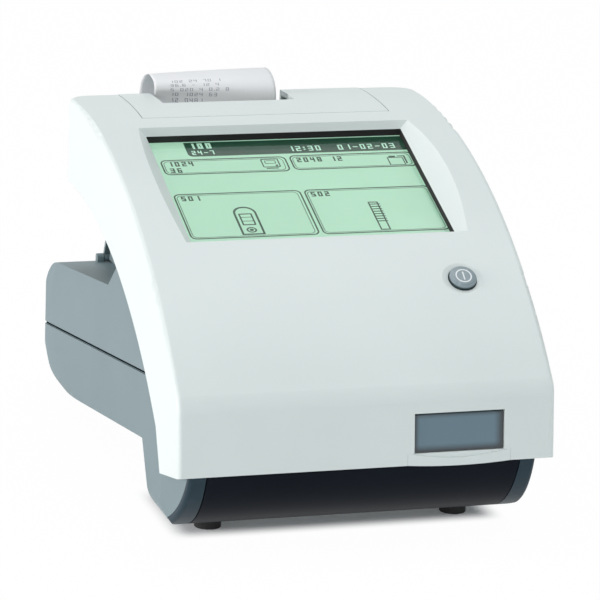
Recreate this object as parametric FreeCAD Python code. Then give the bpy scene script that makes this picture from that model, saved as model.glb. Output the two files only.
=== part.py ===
import FreeCAD, Part
import math
import os
from FreeCAD import Placement, Rotation, Vector

# Desktop reader for urine test strips and cassettes. Millimetres, +Z up, front towards -Y.
# The origin lies on the table, under the middle of the reader's width and depth.

# Overall size, and the white arched cover
overall_depth = 272.0
cover_width = 171.0
cover_height = 158.7
cover_length = 220.5
cover_wall = 2.5
cover_bottom = 39.4
crest_from_front = 200.6
band_top = 71.0
band_lean = 3.43
side_band = 39.0
side_toe_from_front = 29.8
side_toe_height = 32.6
side_knee_height = 51.2
cover_corner = 12.0
cover_edge_round = 2.2
cover_crease_round = 12.0
cover_gap = 1.0
cover_boss_x = 71.0
cover_boss_from_front = 192.0
cover_boss_radius = 4.0
clip_width = 8.0
clip_height = 50.0
clip_middle_x = 0.0

# Clearances and cuts
overrun = 1.0
seat_gap = 0.2
sliding_gap = 0.3
running_gap = 0.05
panel_gap = 0.4
tolerance = 0.05
direction_limit = 0.99

# Screen: opening, its bevel and the stack behind it
screen_width = 122.8
screen_height = 91.4
screen_from_front = 115.65
screen_centre_height = 136.4
screen_tilt = 19.3
screen_bevel_side = 6.5
screen_bevel_top = 4.0
screen_bevel_bottom = 1.5
screen_rim = 3.0
gasket_depth = 3.5
gasket_border = 2.6
touch_thickness = 1.1
display_thickness = 5.5
bracket_thickness = 1.2
bracket_ear = 7.0
screen_boss_radius = 3.0
screen_tool_height = 26.0

# Power button
button_x = 55.5
button_from_front = 46.6
button_diameter = 12.5
button_height = 5.0
button_proud = 1.6
button_travel = 1.2
button_dome = 0.6
dish_diameter = 19.0
dish_depth = 1.1
button_bore_gap = 0.35
button_collar = 15.5
button_collar_height = 1.2
switch_width = 6.0
switch_height = 3.6
switch_plunger_diameter = 3.0
plunger_length = 1.4
button_board_length = 25.0
button_board_width = 12.0
button_post_radius = 1.8
button_board_thickness = 1.6

# Port of the test table, its flap and lip
port_left = 20.7
port_right = 62.0
port_bottom = 44.4
port_top = 62.0
flap_gap = 0.35
flap_thickness = 1.4
flap_recess = 1.0
flap_pin_radius = 0.8
flap_pin_reach = 3.0
flap_ear_wall = 1.6
lip_margin = 3.0
lip_scoop_depth = 0.9
lip_drop = 1.0

# Printer bay, its cover and the paper
bay_half_width = 59.8
bay_front_from_front = 172.1
bay_ledge = 2.0
bay_skirt = 12.0
notch_left = -44.0
notch_right = 20.5
notch_from_front = 196.0
paper_width = 57.0
paper_centre_x = -14.0
paper_thickness = 0.3
paper_rise_from_front = 207.5
paper_curl_radius = 18.4
paper_top = 169.0
paper_tail = 14.0
roll_radius = 22.0
roll_core_radius = 7.0
roll_core_wall = 1.5
roll_from_front = 196.5
roll_cheek_height = 36.0

# Grey housing: a tilted slab in two halves, and the base block under its front
housing_half_width = 82.0
housing_wall = 2.5
housing_tilt = 9.1
parting_from_front = 162.1
parting_height = 50.8
slab_above = 32.2
slab_below = 29.9
parting_groove = 1.4
rear_corner = 7.0
deck_rear_inset = 29.0
deck_front_from_front = 142.0
neck_from_front = 119.0
rear_upper_bulge_inset = 8.2
rear_upper_bulge_rise = 24.8
rear_lower_bulge_inset = 10.6
rear_lower_bulge_drop = 13.1
belly_rear_inset = 35.0
rim_inset = 3.5
housing_front_from_front = 9.0
housing_shoulder_from_front = 14.0
base_rear_top_from_front = 74.0
base_rear_from_front = 58.0
base_bottom = 6.0
base_toe_from_front = 37.5
base_nose_from_front = 16.2
base_nose_height = 18.8
base_nose_share = 0.7
base_front_from_front = 5.0
base_brow_height = 37.0
skirt_rear_from_front = 34.0
base_top = 42.0
base_side_round = 10.0
base_wall = 2.5
base_taper = 3.0
base_taper_from_front = 40.0
base_corner_round = 2.0
skirt_lip = 3.0
skirt_wrap = 3.0
panel_half_width = 71.4
panel_seam = 0.5

# Paper bay tower and its rear cover
tower_half_width = 58.0
tower_floor_from_front = 160.0
tower_top_from_front = 216.5
tower_floor_height = 73.0
lid_half_width = 60.0
lid_thickness = 1.8
lid_foot_from_front = 240.5
lid_foot_height = 73.6
lid_top_height = 116.5
lid_top_from_front = 219.5
lid_pin_radius = 1.2
lid_pin_reach = 3.0
lid_tab_width = 16.0
lid_tab_height = 5.0

# Printer
print_line_drop = 22.7
platen_radius = 4.5
platen_shaft_radius = 2.0
printer_wall = 2.0
printer_side_gap = 1.5
printer_below_line = 10.0
printer_above_line = 11.5
head_thickness = 2.0
head_height = 16.0
head_spring_radius = 1.8
head_spring_offset = 14.25
head_spring_wire = 0.35
gear_width = 3.0
gear_backlash = 0.25
gear_module = 0.6
root_width_share = 1.45
tip_share = 0.5
root_share = 1.25
platen_teeth = 14
idler_teeth = 20
motor_teeth = 10
idler_pin_radius = 1.0
motor_radius = 7.0
motor_length = 16.0
motor_shaft_radius = 1.0
motor_shaft_depth = 6.0
motor_plate = 1.5
printer_bar_from_front = 186.0
printer_ledge = 4.0
motor_drop_angle = 127.0
printer_cable_x = -31.0
printer_cable_from_front = 139.0
ledge_width = 10.0
arm_width = 4.0
arm_length = 13.0
arm_thickness = 2.0
arm_pivot_radius = 1.5
arm_pivot_from_front = 196.0
arm_above_line = 6.0
arm_knob_radius = 3.0

# Test table and what drives it
table_width = 38.0
table_base = 45.6
table_thickness = 3.6
table_front_from_front = 46.0
table_length = 144.0
table_nose = 25.0
table_nose_round = 8.0
nose_share = 0.55
insert_length = 96.0
insert_width = 27.6
insert_recess = 2.0
insert_thickness = 3.0
strip_channel_width = 5.6
strip_channel_depth = 1.0
strip_channel_length = 86.0
calibration_length = 10.0
calibration_thickness = 1.2
calibration_gap = 3.0
rack_width = 2.4
rack_thickness = 3.0
rack_start_from_front = 50.0
rack_end_from_front = 188.0
drive_module = 1.0
pressure_angle = 20.0
drive_teeth = 14
drive_backlash = 0.35
drive_gear_width = 3.0
pinion_from_front = 56.0
table_motor_radius = 10.0
table_motor_height = 14.0
drive_shaft_radius = 1.5
drive_shaft_depth = 6.0
chassis_wall = 2.0
chassis_from_front = 12.0
chassis_length = 150.0
chassis_rail_height = 8.0
chassis_side_gap = 0.4

# Optical read head over the table
optics_from_front = 66.0
optics_length = 44.0
optics_width = 34.0
optics_height = 24.0
optics_clearance = 6.5
optics_wall = 2.0
lens_radius = 5.0
lens_thickness = 3.0
optics_board_thickness = 1.6
led_radius = 1.5
led_height = 3.0
lamp_offset_x = 8.5
lamp_offset_y = 11.0

# Boards and connectors
board_thickness = 1.6
board_side_gap = 3.5
board_right = -8.0
board_from_front = 40.0
board_length = 106.0
board_height = 46.0
standoff_radius = 3.0
chip_size = 18.0
chip_thickness = 2.2
chip_from_edge = 28.0
small_chip_size = 9.0
small_chip_count = 3
small_chip_from_edge = 13.8
rear_post_share = 1 / 3
header_width = 5.0
header_length = 22.0
header_height = 6.0

# Rear connectors
rear_port_inset = 2.0
panel_side_margin = 8.0
panel_rim = 1.5
serial_nut_radius = 2.2
serial_corner = 2.8
inlet_pin_length = 10.4
inlet_x = 58.0
inlet_radius = 5.5
inlet_hole_radius = 3.0
inlet_pin_radius = 1.0
inlet_length = 14.0
serial_x = 24.0
serial_width = 31.0
serial_height = 12.5
serial_depth = 11.0
serial_shell_width = 17.0
serial_shell_height = 8.4
serial_shell_reach = 4.5
card_x = -34.0
card_width = 28.0
card_height = 4.0
card_depth = 26.0
card_mouth_wall = 1.3
connector_height = 46.0

# Battery bay in the belly
battery_radius = 7.25
battery_button_radius = 2.75
battery_length = 50.5
battery_rows = 3
battery_gap = 0.5
battery_front_from_front = 156.0
contact_thickness = 0.6
contact_gap = 1.2
battery_wall = 1.6
door_thickness = 2.0
door_tongue = 1.5
door_tongue_thickness = 1.0
door_travel = 8.0
door_ledge = 1.0
door_grip_width = 24.0
door_grip_depth = 0.8
door_grip_pitch = 2.4
door_grip_rows = 4

# Feet and screws
foot_radius = 6.0
foot_spacing = 57.3
front_foot_from_front = 50.3
rear_foot_inset = 50.0
foot_pad = 3.0
foot_recess = 1.0
rear_boss_radius = 8.0
screw_radius = 1.5
screw_head_radius = 2.8
screw_head_height = 1.8
screw_length = 8.0
rear_screw_length = 3.6
cable_width = 14.0
cable_thickness = 0.4
display_cable_x = -38.0

# Places worked out from the sizes above
front_edge = -overall_depth / 2
cover_half = cover_width / 2
skirt_half_width = housing_half_width - base_taper
face_run = crest_from_front - band_lean
face_drop = cover_height - band_top
face_radius = (face_run ** 2 + face_drop ** 2) / (2 * face_drop)
arc_centre_z = cover_height - face_radius
inner_face_radius = face_radius - cover_wall
deck_rear_from_front = overall_depth - deck_rear_inset
board_left = housing_wall + board_side_gap - housing_half_width
belly_rear_from_front = overall_depth - belly_rear_inset
rear_foot_from_front = overall_depth - rear_foot_inset
print_line_height = cover_height - print_line_drop
printer_bottom_height = print_line_height - printer_below_line
printer_top_height = print_line_height + printer_above_line
arm_rest_height = print_line_height + arm_above_line


def back(distance):
    """Y of a place a given distance behind the cover's front edge."""
    return front_edge + distance


def arc_y(radius, z):
    """Y on the front branch of an arc about the cover's own centre, at a height."""
    return back(crest_from_front) - math.sqrt(radius ** 2 - (z - arc_centre_z) ** 2)


def arc_z(radius, distance):
    """Height of an arc about the cover's own centre, at a distance behind the front edge."""
    return arc_centre_z + math.sqrt(radius ** 2 - (distance - crest_from_front) ** 2)


def arc_middle(radius, start, end):
    """Point half way along an arc about the cover's own centre, between two points in the YZ plane."""
    first = math.atan2(start[1] - arc_centre_z, start[0] - back(crest_from_front))
    last = math.atan2(end[1] - arc_centre_z, end[0] - back(crest_from_front))
    turn = (first + last) / 2
    return (back(crest_from_front) + radius * math.cos(turn), arc_centre_z + radius * math.sin(turn))


def line(start, end):
    """Straight edge between two (Y, Z) points."""
    return Part.LineSegment(Vector(0, *start), Vector(0, *end)).toShape()


def arc(start, middle, end):
    """Round edge through three (Y, Z) points."""
    return Part.Arc(Vector(0, *start), Vector(0, *middle), Vector(0, *end)).toShape()


def extrude_x(edges, left, right):
    """Solid between two X places, over a closed outline in the YZ plane."""
    face = Part.Face(Part.Wire(edges))
    solid = face.extrude(Vector(right - left, 0, 0))
    solid.translate(Vector(left, 0, 0))
    return solid


def polygon_x(points, left, right):
    """Solid between two X places, over a polygon of (Y, Z) points."""
    edges = [line(a, b) for a, b in zip(points, points[1:] + points[:1])]
    return extrude_x(edges, left, right)


def block(left, right, near, far, low, high):
    """Box between two X, two Y and two Z places."""
    return Part.makeBox(right - left, far - near, high - low, Vector(left, near, low))


def rod(radius, start, end):
    """Round rod between two points."""
    axis = end - start
    return Part.makeCylinder(radius, axis.Length, start, axis)


def joined(shapes):
    """One solid from overlapping ones, with its seams removed."""
    whole = shapes[0].fuse(shapes[1:])
    return whole.removeSplitter()


def rounded_block(left, right, near, far, low, high, radius):
    """Box whose upright edges are rounded."""
    shape = block(left, right, near, far, low, high)
    upright = [edge for edge in shape.Edges if abs(edge.tangentAt(edge.FirstParameter).z) > direction_limit]
    return shape.makeFillet(radius, upright)


def placed(shape, placement):
    """Copy of a shape moved from its own axes to its place."""
    copy = shape.copy()
    copy.Placement = placement.multiply(copy.Placement)
    return copy


screen_frame = Placement(Vector(0, back(screen_from_front), screen_centre_height),
                         Rotation(Vector(1, 0, 0), screen_tilt))
button_z = arc_z(face_radius, button_from_front)
button_lean = math.degrees(math.asin((crest_from_front - button_from_front) / face_radius))
button_frame = Placement(Vector(button_x, back(button_from_front), button_z), Rotation(Vector(1, 0, 0),
                                                                                       button_lean))
slab_frame = Placement(Vector(0, back(parting_from_front), parting_height), Rotation(Vector(1, 0, 0),
                                                                                     -housing_tilt))
slab_slope = math.tan(math.radians(housing_tilt))


def slab_z(offset, distance):
    """Height of a plane parallel to the parting, a given offset above it, at a distance from the front."""
    at_parting = parting_height + offset / math.cos(math.radians(housing_tilt))
    return at_parting - (distance - parting_from_front) * slab_slope


def cover_profile(outer, inset):
    """Side outline of the arched cover: its face lies on the outer radius, its ends and toe are inset."""
    band_back = arc_y(face_radius, band_top) - front_edge
    sill = (back(inset), cover_bottom)
    band = (back(band_back + inset), band_top)
    face_start = (arc_y(outer, band_top), band_top)
    rear = back(cover_length - inset)
    face_end = (rear, arc_z(outer, cover_length - inset))
    tail = (rear, arc_z(face_radius - side_band, cover_length - inset))
    knee = (arc_y(face_radius - side_band, side_knee_height), side_knee_height)
    toe = (back(side_toe_from_front), side_toe_height)
    edges = [line(sill, band)]
    if abs(band[0] - face_start[0]) > tolerance:
        edges.append(line(band, face_start))
    edges.append(arc(face_start, arc_middle(outer, face_start, face_end), face_end))
    edges.append(line(face_end, tail))
    edges.append(arc(tail, arc_middle(face_radius - side_band, tail, knee), knee))
    edges.append(line(knee, toe))
    edges.append(line(toe, sill))
    return edges


def bay_cut(gap):
    """Opening of the printer bay through the top of the cover and its rear wall, widened by a gap."""
    near = back(bay_front_from_front) - gap
    return block(-bay_half_width - gap, bay_half_width + gap, near, back(cover_length) + overrun,
                 arc_z(face_radius, cover_length) - bay_skirt - gap, cover_height + overrun)


def make_front_cover():
    """White arched cover: face, side walls and rear wall in one moulding, open below and behind."""
    solid = extrude_x(cover_profile(face_radius, 0), -cover_half, cover_half)
    upright = [edge for edge in solid.Edges
               if abs(edge.tangentAt(edge.FirstParameter).z) > direction_limit
               and edge.CenterOfMass.y > back(cover_length) - overrun]
    solid = solid.makeFillet(cover_corner, upright)
    crease = [edge for edge in solid.Edges
              if abs(edge.CenterOfMass.z - band_top) < tolerance and edge.Length > cover_half]
    solid = solid.makeFillet(cover_crease_round, crease)
    rim = [edge for edge in solid.Edges
           if edge.Length > side_band and abs(edge.tangentAt(edge.FirstParameter).x) < 1 - direction_limit
           and edge.CenterOfMass.z > arc_centre_z + face_radius - side_band - cover_length / 2
           and on_face(edge)]
    if rim:
        solid = solid.makeFillet(cover_edge_round, rim)
    inside = extrude_x(cover_profile(inner_face_radius, cover_wall), cover_wall - cover_half,
                       cover_half - cover_wall)
    under = block(cover_wall - cover_half, cover_half - cover_wall, back(cover_wall),
                  back(side_toe_from_front),
                  0, cover_bottom)
    shell = solid.cut(inside).cut(under)
    boss, funnel = screen_boss()
    shell = joined([shell, boss.common(solid)]).cut(funnel)
    shell = joined([shell] + [post.common(solid) for post in cover_posts()])
    shell = shell.cut(screen_block(gasket_border + seat_gap / 2, 0, display_back + overrun))
    for hole in cover_post_holes():
        shell = shell.cut(hole)
    for cutter in (bay_cut(panel_gap / 2), port_cut(0), lip_cut(seat_gap / 2)):
        shell = shell.cut(cutter)
    near = back(bay_front_from_front)
    far = back(cover_length - rim_inset - housing_wall) - cover_gap
    low = arc_z(inner_face_radius, cover_length) - cover_wall - cover_gap
    outer = bay_half_width + bay_ledge * 2
    for side in (-1, 1):
        ends = sorted((side * (tower_half_width + sliding_gap), side * outer))
        shell = shell.fuse(block(ends[0], ends[1], near, far, low, low + cover_wall))
        ends = sorted((side * (bay_half_width + panel_gap), side * outer))
        shell = shell.fuse(block(ends[0], ends[1], near, far, low, cover_height).common(solid))
    shell = joined([shell, flap_bearings()] + [boss.common(solid) for boss in cover_bosses(sliding_gap)])
    shell = joined([shell] + cover_clips()).cut(flap_pin_solid(running_gap))
    for x, y in cover_screw_places():
        shell = shell.cut(rod(screw_radius, Vector(x, y, 0), Vector(x, y, cover_height - cover_wall * 2)))
    dish = Part.makeSphere(dish_radius(), Vector(0, 0, dish_radius() - dish_depth))
    shell = shell.cut(placed(dish, button_frame))
    bore = Part.makeCylinder(button_diameter / 2 + button_bore_gap, cover_width,
                             Vector(0, 0, -cover_width / 2))
    shell = shell.cut(placed(bore, button_frame))
    return shell.removeSplitter()


def on_face(edge):
    """True for the two long edges where the face and the band turn into the side walls."""
    middle = edge.valueAt((edge.FirstParameter + edge.LastParameter) / 2)
    radial = math.hypot(middle.y - back(crest_from_front), middle.z - arc_centre_z)
    on_arc = abs(radial - face_radius) < tolerance
    on_band = middle.z < band_top and middle.y < back(side_toe_from_front / 2) and middle.z > cover_bottom
    return (on_arc or on_band) and abs(abs(middle.x) - cover_half) < tolerance


def dish_radius():
    """Radius of the ball that scoops the dish round the power button."""
    half = dish_diameter / 2
    return (half ** 2 + dish_depth ** 2) / (2 * dish_depth)


def screen_rectangle(left, right, low, high, depth):
    """Closed wire round a rectangle in the screen's own plane, at a depth below its rim."""
    points = [Vector(left, low, -depth), Vector(right, low, -depth), Vector(right, high, -depth),
              Vector(left, high, -depth)]
    wire = Part.makePolygon(points + points[:1])
    wire.Placement = screen_frame
    return wire


def screen_block(border, top, bottom):
    """Box over the screen opening plus a border, between two depths below the rim."""
    half_width = screen_width / 2 + border
    half_height = screen_height / 2 + border
    shape = block(-half_width, half_width, -half_height, half_height, -bottom, -top)
    return placed(shape, screen_frame)


def screen_boss():
    """Rim of the cover round the screen, and the bevelled funnel that opens it."""
    sagitta = face_radius - math.sqrt(face_radius ** 2 - (screen_height / 2) ** 2)
    reach = screen_tool_height
    boss = screen_block(screen_bevel_side + screen_rim, -reach, 0)
    half_width = screen_width / 2
    half_height = screen_height / 2
    low = screen_rectangle(-half_width, half_width, -half_height, half_height, 0)
    surface = sagitta + cover_wall
    spread = reach / surface
    high = screen_rectangle(-half_width - screen_bevel_side * spread, half_width + screen_bevel_side * spread,
                            -half_height - screen_bevel_bottom * spread,
                            half_height + screen_bevel_top * spread, -reach)
    funnel = Part.makeLoft([low, high], True, True)
    through = screen_block(0, -overrun, reach)
    return boss, funnel.fuse(through)


def port_cut(border):
    """Hole of the port through the lower band of the cover, grown by a border."""
    depth = side_toe_from_front / 2
    return block(port_left - border, port_right + border, front_edge - overrun, back(depth),
                 port_bottom - border, port_top + border)


def lip_cut(gap):
    """Place of the lip under the port, grown by a gap."""
    depth = cover_wall * 2
    return block(port_left - lip_margin - gap, port_right + lip_margin + gap, front_edge - overrun,
                 back(depth), cover_bottom - overrun, port_bottom)


def make_port_lip():
    """White lip under the port, scooped in front where the table slides out over it."""
    left = port_left - lip_margin
    right = port_right + lip_margin
    front = extrude_x(cover_profile(face_radius, 0), -cover_half, cover_half)
    solid = front.common(block(left, right, front_edge, back(cover_wall), cover_bottom, port_bottom))
    drop = block(left, right, front_edge, back(cover_wall), cover_bottom - lip_drop, cover_bottom)
    middle = (left + right) / 2
    half = (right - left) / 2
    radius = (half ** 2 + lip_drop ** 2) / (2 * lip_drop)
    belly = rod(radius, Vector(middle, front_edge, cover_bottom - lip_drop + radius),
                Vector(middle, back(cover_wall), cover_bottom - lip_drop + radius))
    solid = solid.fuse(drop.common(belly))
    scoop_half = (port_right - port_left) / 2 + lip_margin / 2
    scoop_drop = (port_bottom - cover_bottom) / 2
    scoop_radius = (scoop_half ** 2 + scoop_drop ** 2) / (2 * scoop_drop)
    scoop = rod(scoop_radius, Vector(middle, front_edge - overrun, port_bottom - scoop_drop + scoop_radius),
                Vector(middle, back(lip_scoop_depth), port_bottom - scoop_drop + scoop_radius))
    return solid.cut(scoop).removeSplitter()


def band_place(depth, z):
    """(Y, Z) place a given depth behind the outside of the lower band, at a height."""
    lean = (arc_y(face_radius, band_top) - front_edge) / (band_top - cover_bottom)
    return (back((z - cover_bottom) * lean + depth), z)


flap_barrel = flap_pin_radius + flap_thickness / 2
flap_pin_z = port_top - flap_gap - flap_barrel
flap_pin_y = band_place(flap_recess + flap_barrel, flap_pin_z)[0]
port_middle = (port_left + port_right) / 2


def flap_pin_solid(gap):
    """Stub pins of the port flap as one bar along its hinge line, grown by a gap."""
    reach = flap_pin_reach + gap
    return rod(flap_pin_radius + gap, Vector(port_left - reach, flap_pin_y, flap_pin_z),
               Vector(port_right + reach, flap_pin_y, flap_pin_z))


def flap_bearings():
    """Two lugs behind the cover's band that hold the ends of the flap's pin."""
    near = band_place(cover_wall / 2, flap_pin_z)[0]
    far = flap_pin_y + flap_barrel + flap_ear_wall
    low = flap_pin_z - flap_barrel - flap_ear_wall
    high = flap_pin_z + flap_barrel + flap_ear_wall
    reach = flap_pin_reach + flap_ear_wall
    lugs = [block(port_left - reach, port_left, near, far, low, high),
            block(port_right, port_right + reach, near, far, low, high)]
    return lugs[0].fuse(lugs[1])


def make_port_flap():
    """Smoked flap that fills the port, with a barrel along its top edge and a stub pin at each end."""
    left = port_left + flap_gap
    right = port_right - flap_gap
    top = flap_pin_z
    low = port_bottom + flap_gap
    plate = polygon_x([band_place(flap_recess, low), band_place(flap_recess, top),
                       band_place(flap_recess + flap_thickness,
                                  top), band_place(flap_recess + flap_thickness, low)],
                      left, right)
    barrel = rod(flap_barrel, Vector(left, flap_pin_y, flap_pin_z), Vector(right, flap_pin_y, flap_pin_z))
    return joined([plate, barrel, flap_pin_solid(0)])


def make_printer_cover():
    """White cover that lifts off the printer, with a notch at its rear edge for the paper."""
    gap = panel_gap / 2
    zone = block(-bay_half_width + gap, bay_half_width - gap, back(bay_front_from_front) + gap,
                 back(cover_length), arc_z(face_radius,
                                           cover_length) - bay_skirt + gap, cover_height + overrun)
    solid = extrude_x(cover_profile(face_radius, 0), -cover_half, cover_half).common(zone)
    hollow = extrude_x(cover_profile(inner_face_radius, cover_wall), -cover_half, cover_half)
    solid = solid.cut(hollow)
    notch = block(notch_left, notch_right, back(notch_from_front), back(cover_length) + overrun,
                  0, cover_height + overrun)
    return solid.cut(notch).removeSplitter()


def upper_edges(inset):
    """Side outline of the upper grey housing, drawn in from its outside by an inset."""
    part_rear = (back(overall_depth - inset), slab_z(0, overall_depth - inset))
    deck_rear = (back(deck_rear_from_front - inset), slab_z(slab_above - inset, deck_rear_from_front - inset))
    bulge = (back(overall_depth - rear_upper_bulge_inset - inset),
             slab_z(0, overall_depth) + rear_upper_bulge_rise - inset / 2)
    deck_front = (back(deck_front_from_front - inset), slab_z(slab_above - inset,
                                                              deck_front_from_front - inset))
    shelf = face_radius - side_band + cover_gap + inset
    neck = (back(neck_from_front - inset), arc_z(shelf, neck_from_front - inset))
    rear_wall = cover_length - rim_inset - inset
    shelf_rear = (back(rear_wall), arc_z(shelf, rear_wall))
    rim = inner_face_radius - cover_gap
    rim_rear = (back(rear_wall), arc_z(rim, rear_wall))
    rim_front = (back(housing_shoulder_from_front + inset), arc_z(rim, housing_shoulder_from_front + inset))
    part_front = (back(housing_shoulder_from_front + inset), slab_z(0, housing_shoulder_from_front + inset))
    return [arc(part_rear, bulge, deck_rear),
            line(deck_rear, deck_front),
            line(deck_front, neck),
            arc(neck, arc_middle(shelf, neck, shelf_rear), shelf_rear),
            line(shelf_rear, rim_rear),
            arc(rim_rear, arc_middle(rim, rim_rear, rim_front), rim_front),
            line(rim_front, part_front),
            line(part_front, part_rear)]


def lower_edges(inset, floor):
    """Side outline of the lower grey housing, drawn in by an inset, with its floor raised alike."""
    part_rear = (back(overall_depth - inset), slab_z(0, overall_depth - inset))
    belly_rear = (back(belly_rear_from_front), slab_z(floor - slab_below, belly_rear_from_front))
    bulge = (back(overall_depth - rear_lower_bulge_inset - inset),
             slab_z(0, overall_depth) - rear_lower_bulge_drop + inset / 2)
    belly_front = (back(base_rear_top_from_front - inset), slab_z(floor - slab_below,
                                                                  base_rear_top_from_front - inset))
    base_rear = (back(base_rear_from_front - inset), base_bottom + floor)
    toe = (back(base_toe_from_front), base_bottom + floor)
    nose = (back(base_nose_from_front + inset * base_nose_share), base_nose_height + floor * base_nose_share)
    brow = (back(base_front_from_front + inset), base_brow_height)
    ledge = (back(base_front_from_front + inset), base_top)
    step = (back(housing_front_from_front + inset), base_top)
    post = (back(housing_front_from_front + inset), port_top)
    part_front = (back(housing_shoulder_from_front + inset), slab_z(0, housing_shoulder_from_front + inset))
    return [arc(part_rear, bulge, belly_rear),
            line(belly_rear, belly_front),
            line(belly_front, base_rear),
            line(base_rear, toe),
            arc(toe, nose, brow),
            line(brow, ledge),
            line(ledge, step),
            line(step, post),
            line(post, part_front),
            line(part_front, part_rear)]


def rear_rounding(inset):
    """Block whose two rear upright corners are rounded, used to round the housing in plan."""
    half = housing_half_width - inset
    shape = block(-half, half, front_edge, back(overall_depth - inset), 0, cover_height)
    corners = [edge for edge in shape.Edges
               if abs(edge.tangentAt(edge.FirstParameter).z) > direction_limit and edge.CenterOfMass.y > 0]
    return shape.makeFillet(max(rear_corner - inset, housing_wall), corners)


def keel(inset, floor):
    """Envelope that rounds the lower side edges of the base and the belly, drawn in by an inset."""
    half = housing_half_width - inset
    bottom = base_bottom + floor
    shape = block(-half, half, front_edge, back(overall_depth), bottom, cover_height)
    lower = [edge for edge in shape.Edges
             if abs(edge.tangentAt(edge.FirstParameter).y) > direction_limit
             and edge.CenterOfMass.z < bottom + seat_gap]
    return shape.makeFillet(base_side_round - inset, lower)


def seam_groove():
    """Ring cut from both halves of the housing along the line where they part."""
    band = block(-cover_width, cover_width, -overall_depth, overall_depth, -parting_groove / 2,
                 parting_groove / 2)
    ring = rear_rounding(-overrun).cut(rear_rounding(parting_groove / 2))
    return placed(band, slab_frame).common(ring)


def tower_side(distance_in, drop):
    """Side outline of the paper tower from the neck to the lid, its underside dropped by a depth."""
    rim = inner_face_radius - cover_gap
    return [(back(neck_from_front), arc_z(rim, neck_from_front)),
            (back(tower_top_from_front), arc_z(rim, tower_top_from_front)),
            (back(tower_top_from_front), lid_top_height),
            (lid_y(lid_top_height, lid_thickness + distance_in), lid_top_height),
            (lid_y(tower_floor_height, lid_thickness + distance_in), tower_floor_height),
            (back(tower_floor_from_front), tower_floor_height),
            (back(deck_front_from_front), slab_z(slab_above, deck_front_from_front) - drop),
            (back(neck_from_front), arc_z(face_radius - side_band + cover_gap, neck_from_front) - drop)]


def lid_y(z, depth):
    """Y on the paper cover at a height, a given depth in from its outside."""
    slope = (lid_foot_from_front - lid_top_from_front) / (lid_top_height - lid_foot_height)
    return back(lid_foot_from_front - (z - lid_foot_height) * slope) - depth * math.sqrt(1 + slope ** 2)


lid_barrel = lid_pin_radius + lid_thickness / 2
lid_pin_z = slab_z(slab_above, lid_foot_from_front) + lid_barrel + seat_gap * 2
lid_pin_y = lid_y(lid_pin_z, lid_barrel)


def lid_pin_solid(gap):
    """Stub pins of the paper cover as one bar along its hinge line, grown by a gap."""
    reach = lid_half_width + panel_gap + lid_pin_reach + gap
    return rod(lid_pin_radius + gap, Vector(-reach, lid_pin_y, lid_pin_z), Vector(reach, lid_pin_y,
                                                                                  lid_pin_z))


def make_paper_cover():
    """Grey cover at the back of the paper bay, hinged at its foot, with a finger tab at its top."""
    outside = [(lid_y(lid_pin_z, 0), lid_pin_z), (lid_y(lid_top_height, 0), lid_top_height)]
    inside = [(lid_y(lid_top_height, lid_thickness), lid_top_height), (lid_y(lid_pin_z, lid_thickness),
                                                                       lid_pin_z)]
    plate = polygon_x(outside + inside, -lid_half_width, lid_half_width)
    barrel = rod(lid_barrel, Vector(-lid_half_width, lid_pin_y, lid_pin_z),
                 Vector(lid_half_width, lid_pin_y, lid_pin_z))
    tab_low = lid_top_height - lid_thickness
    tab = block(-lid_tab_width / 2, lid_tab_width / 2, lid_y(lid_top_height, lid_thickness),
                lid_y(lid_top_height, -lid_tab_height), tab_low, lid_top_height)
    return joined([plate, barrel, tab, lid_pin_solid(0)])


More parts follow.
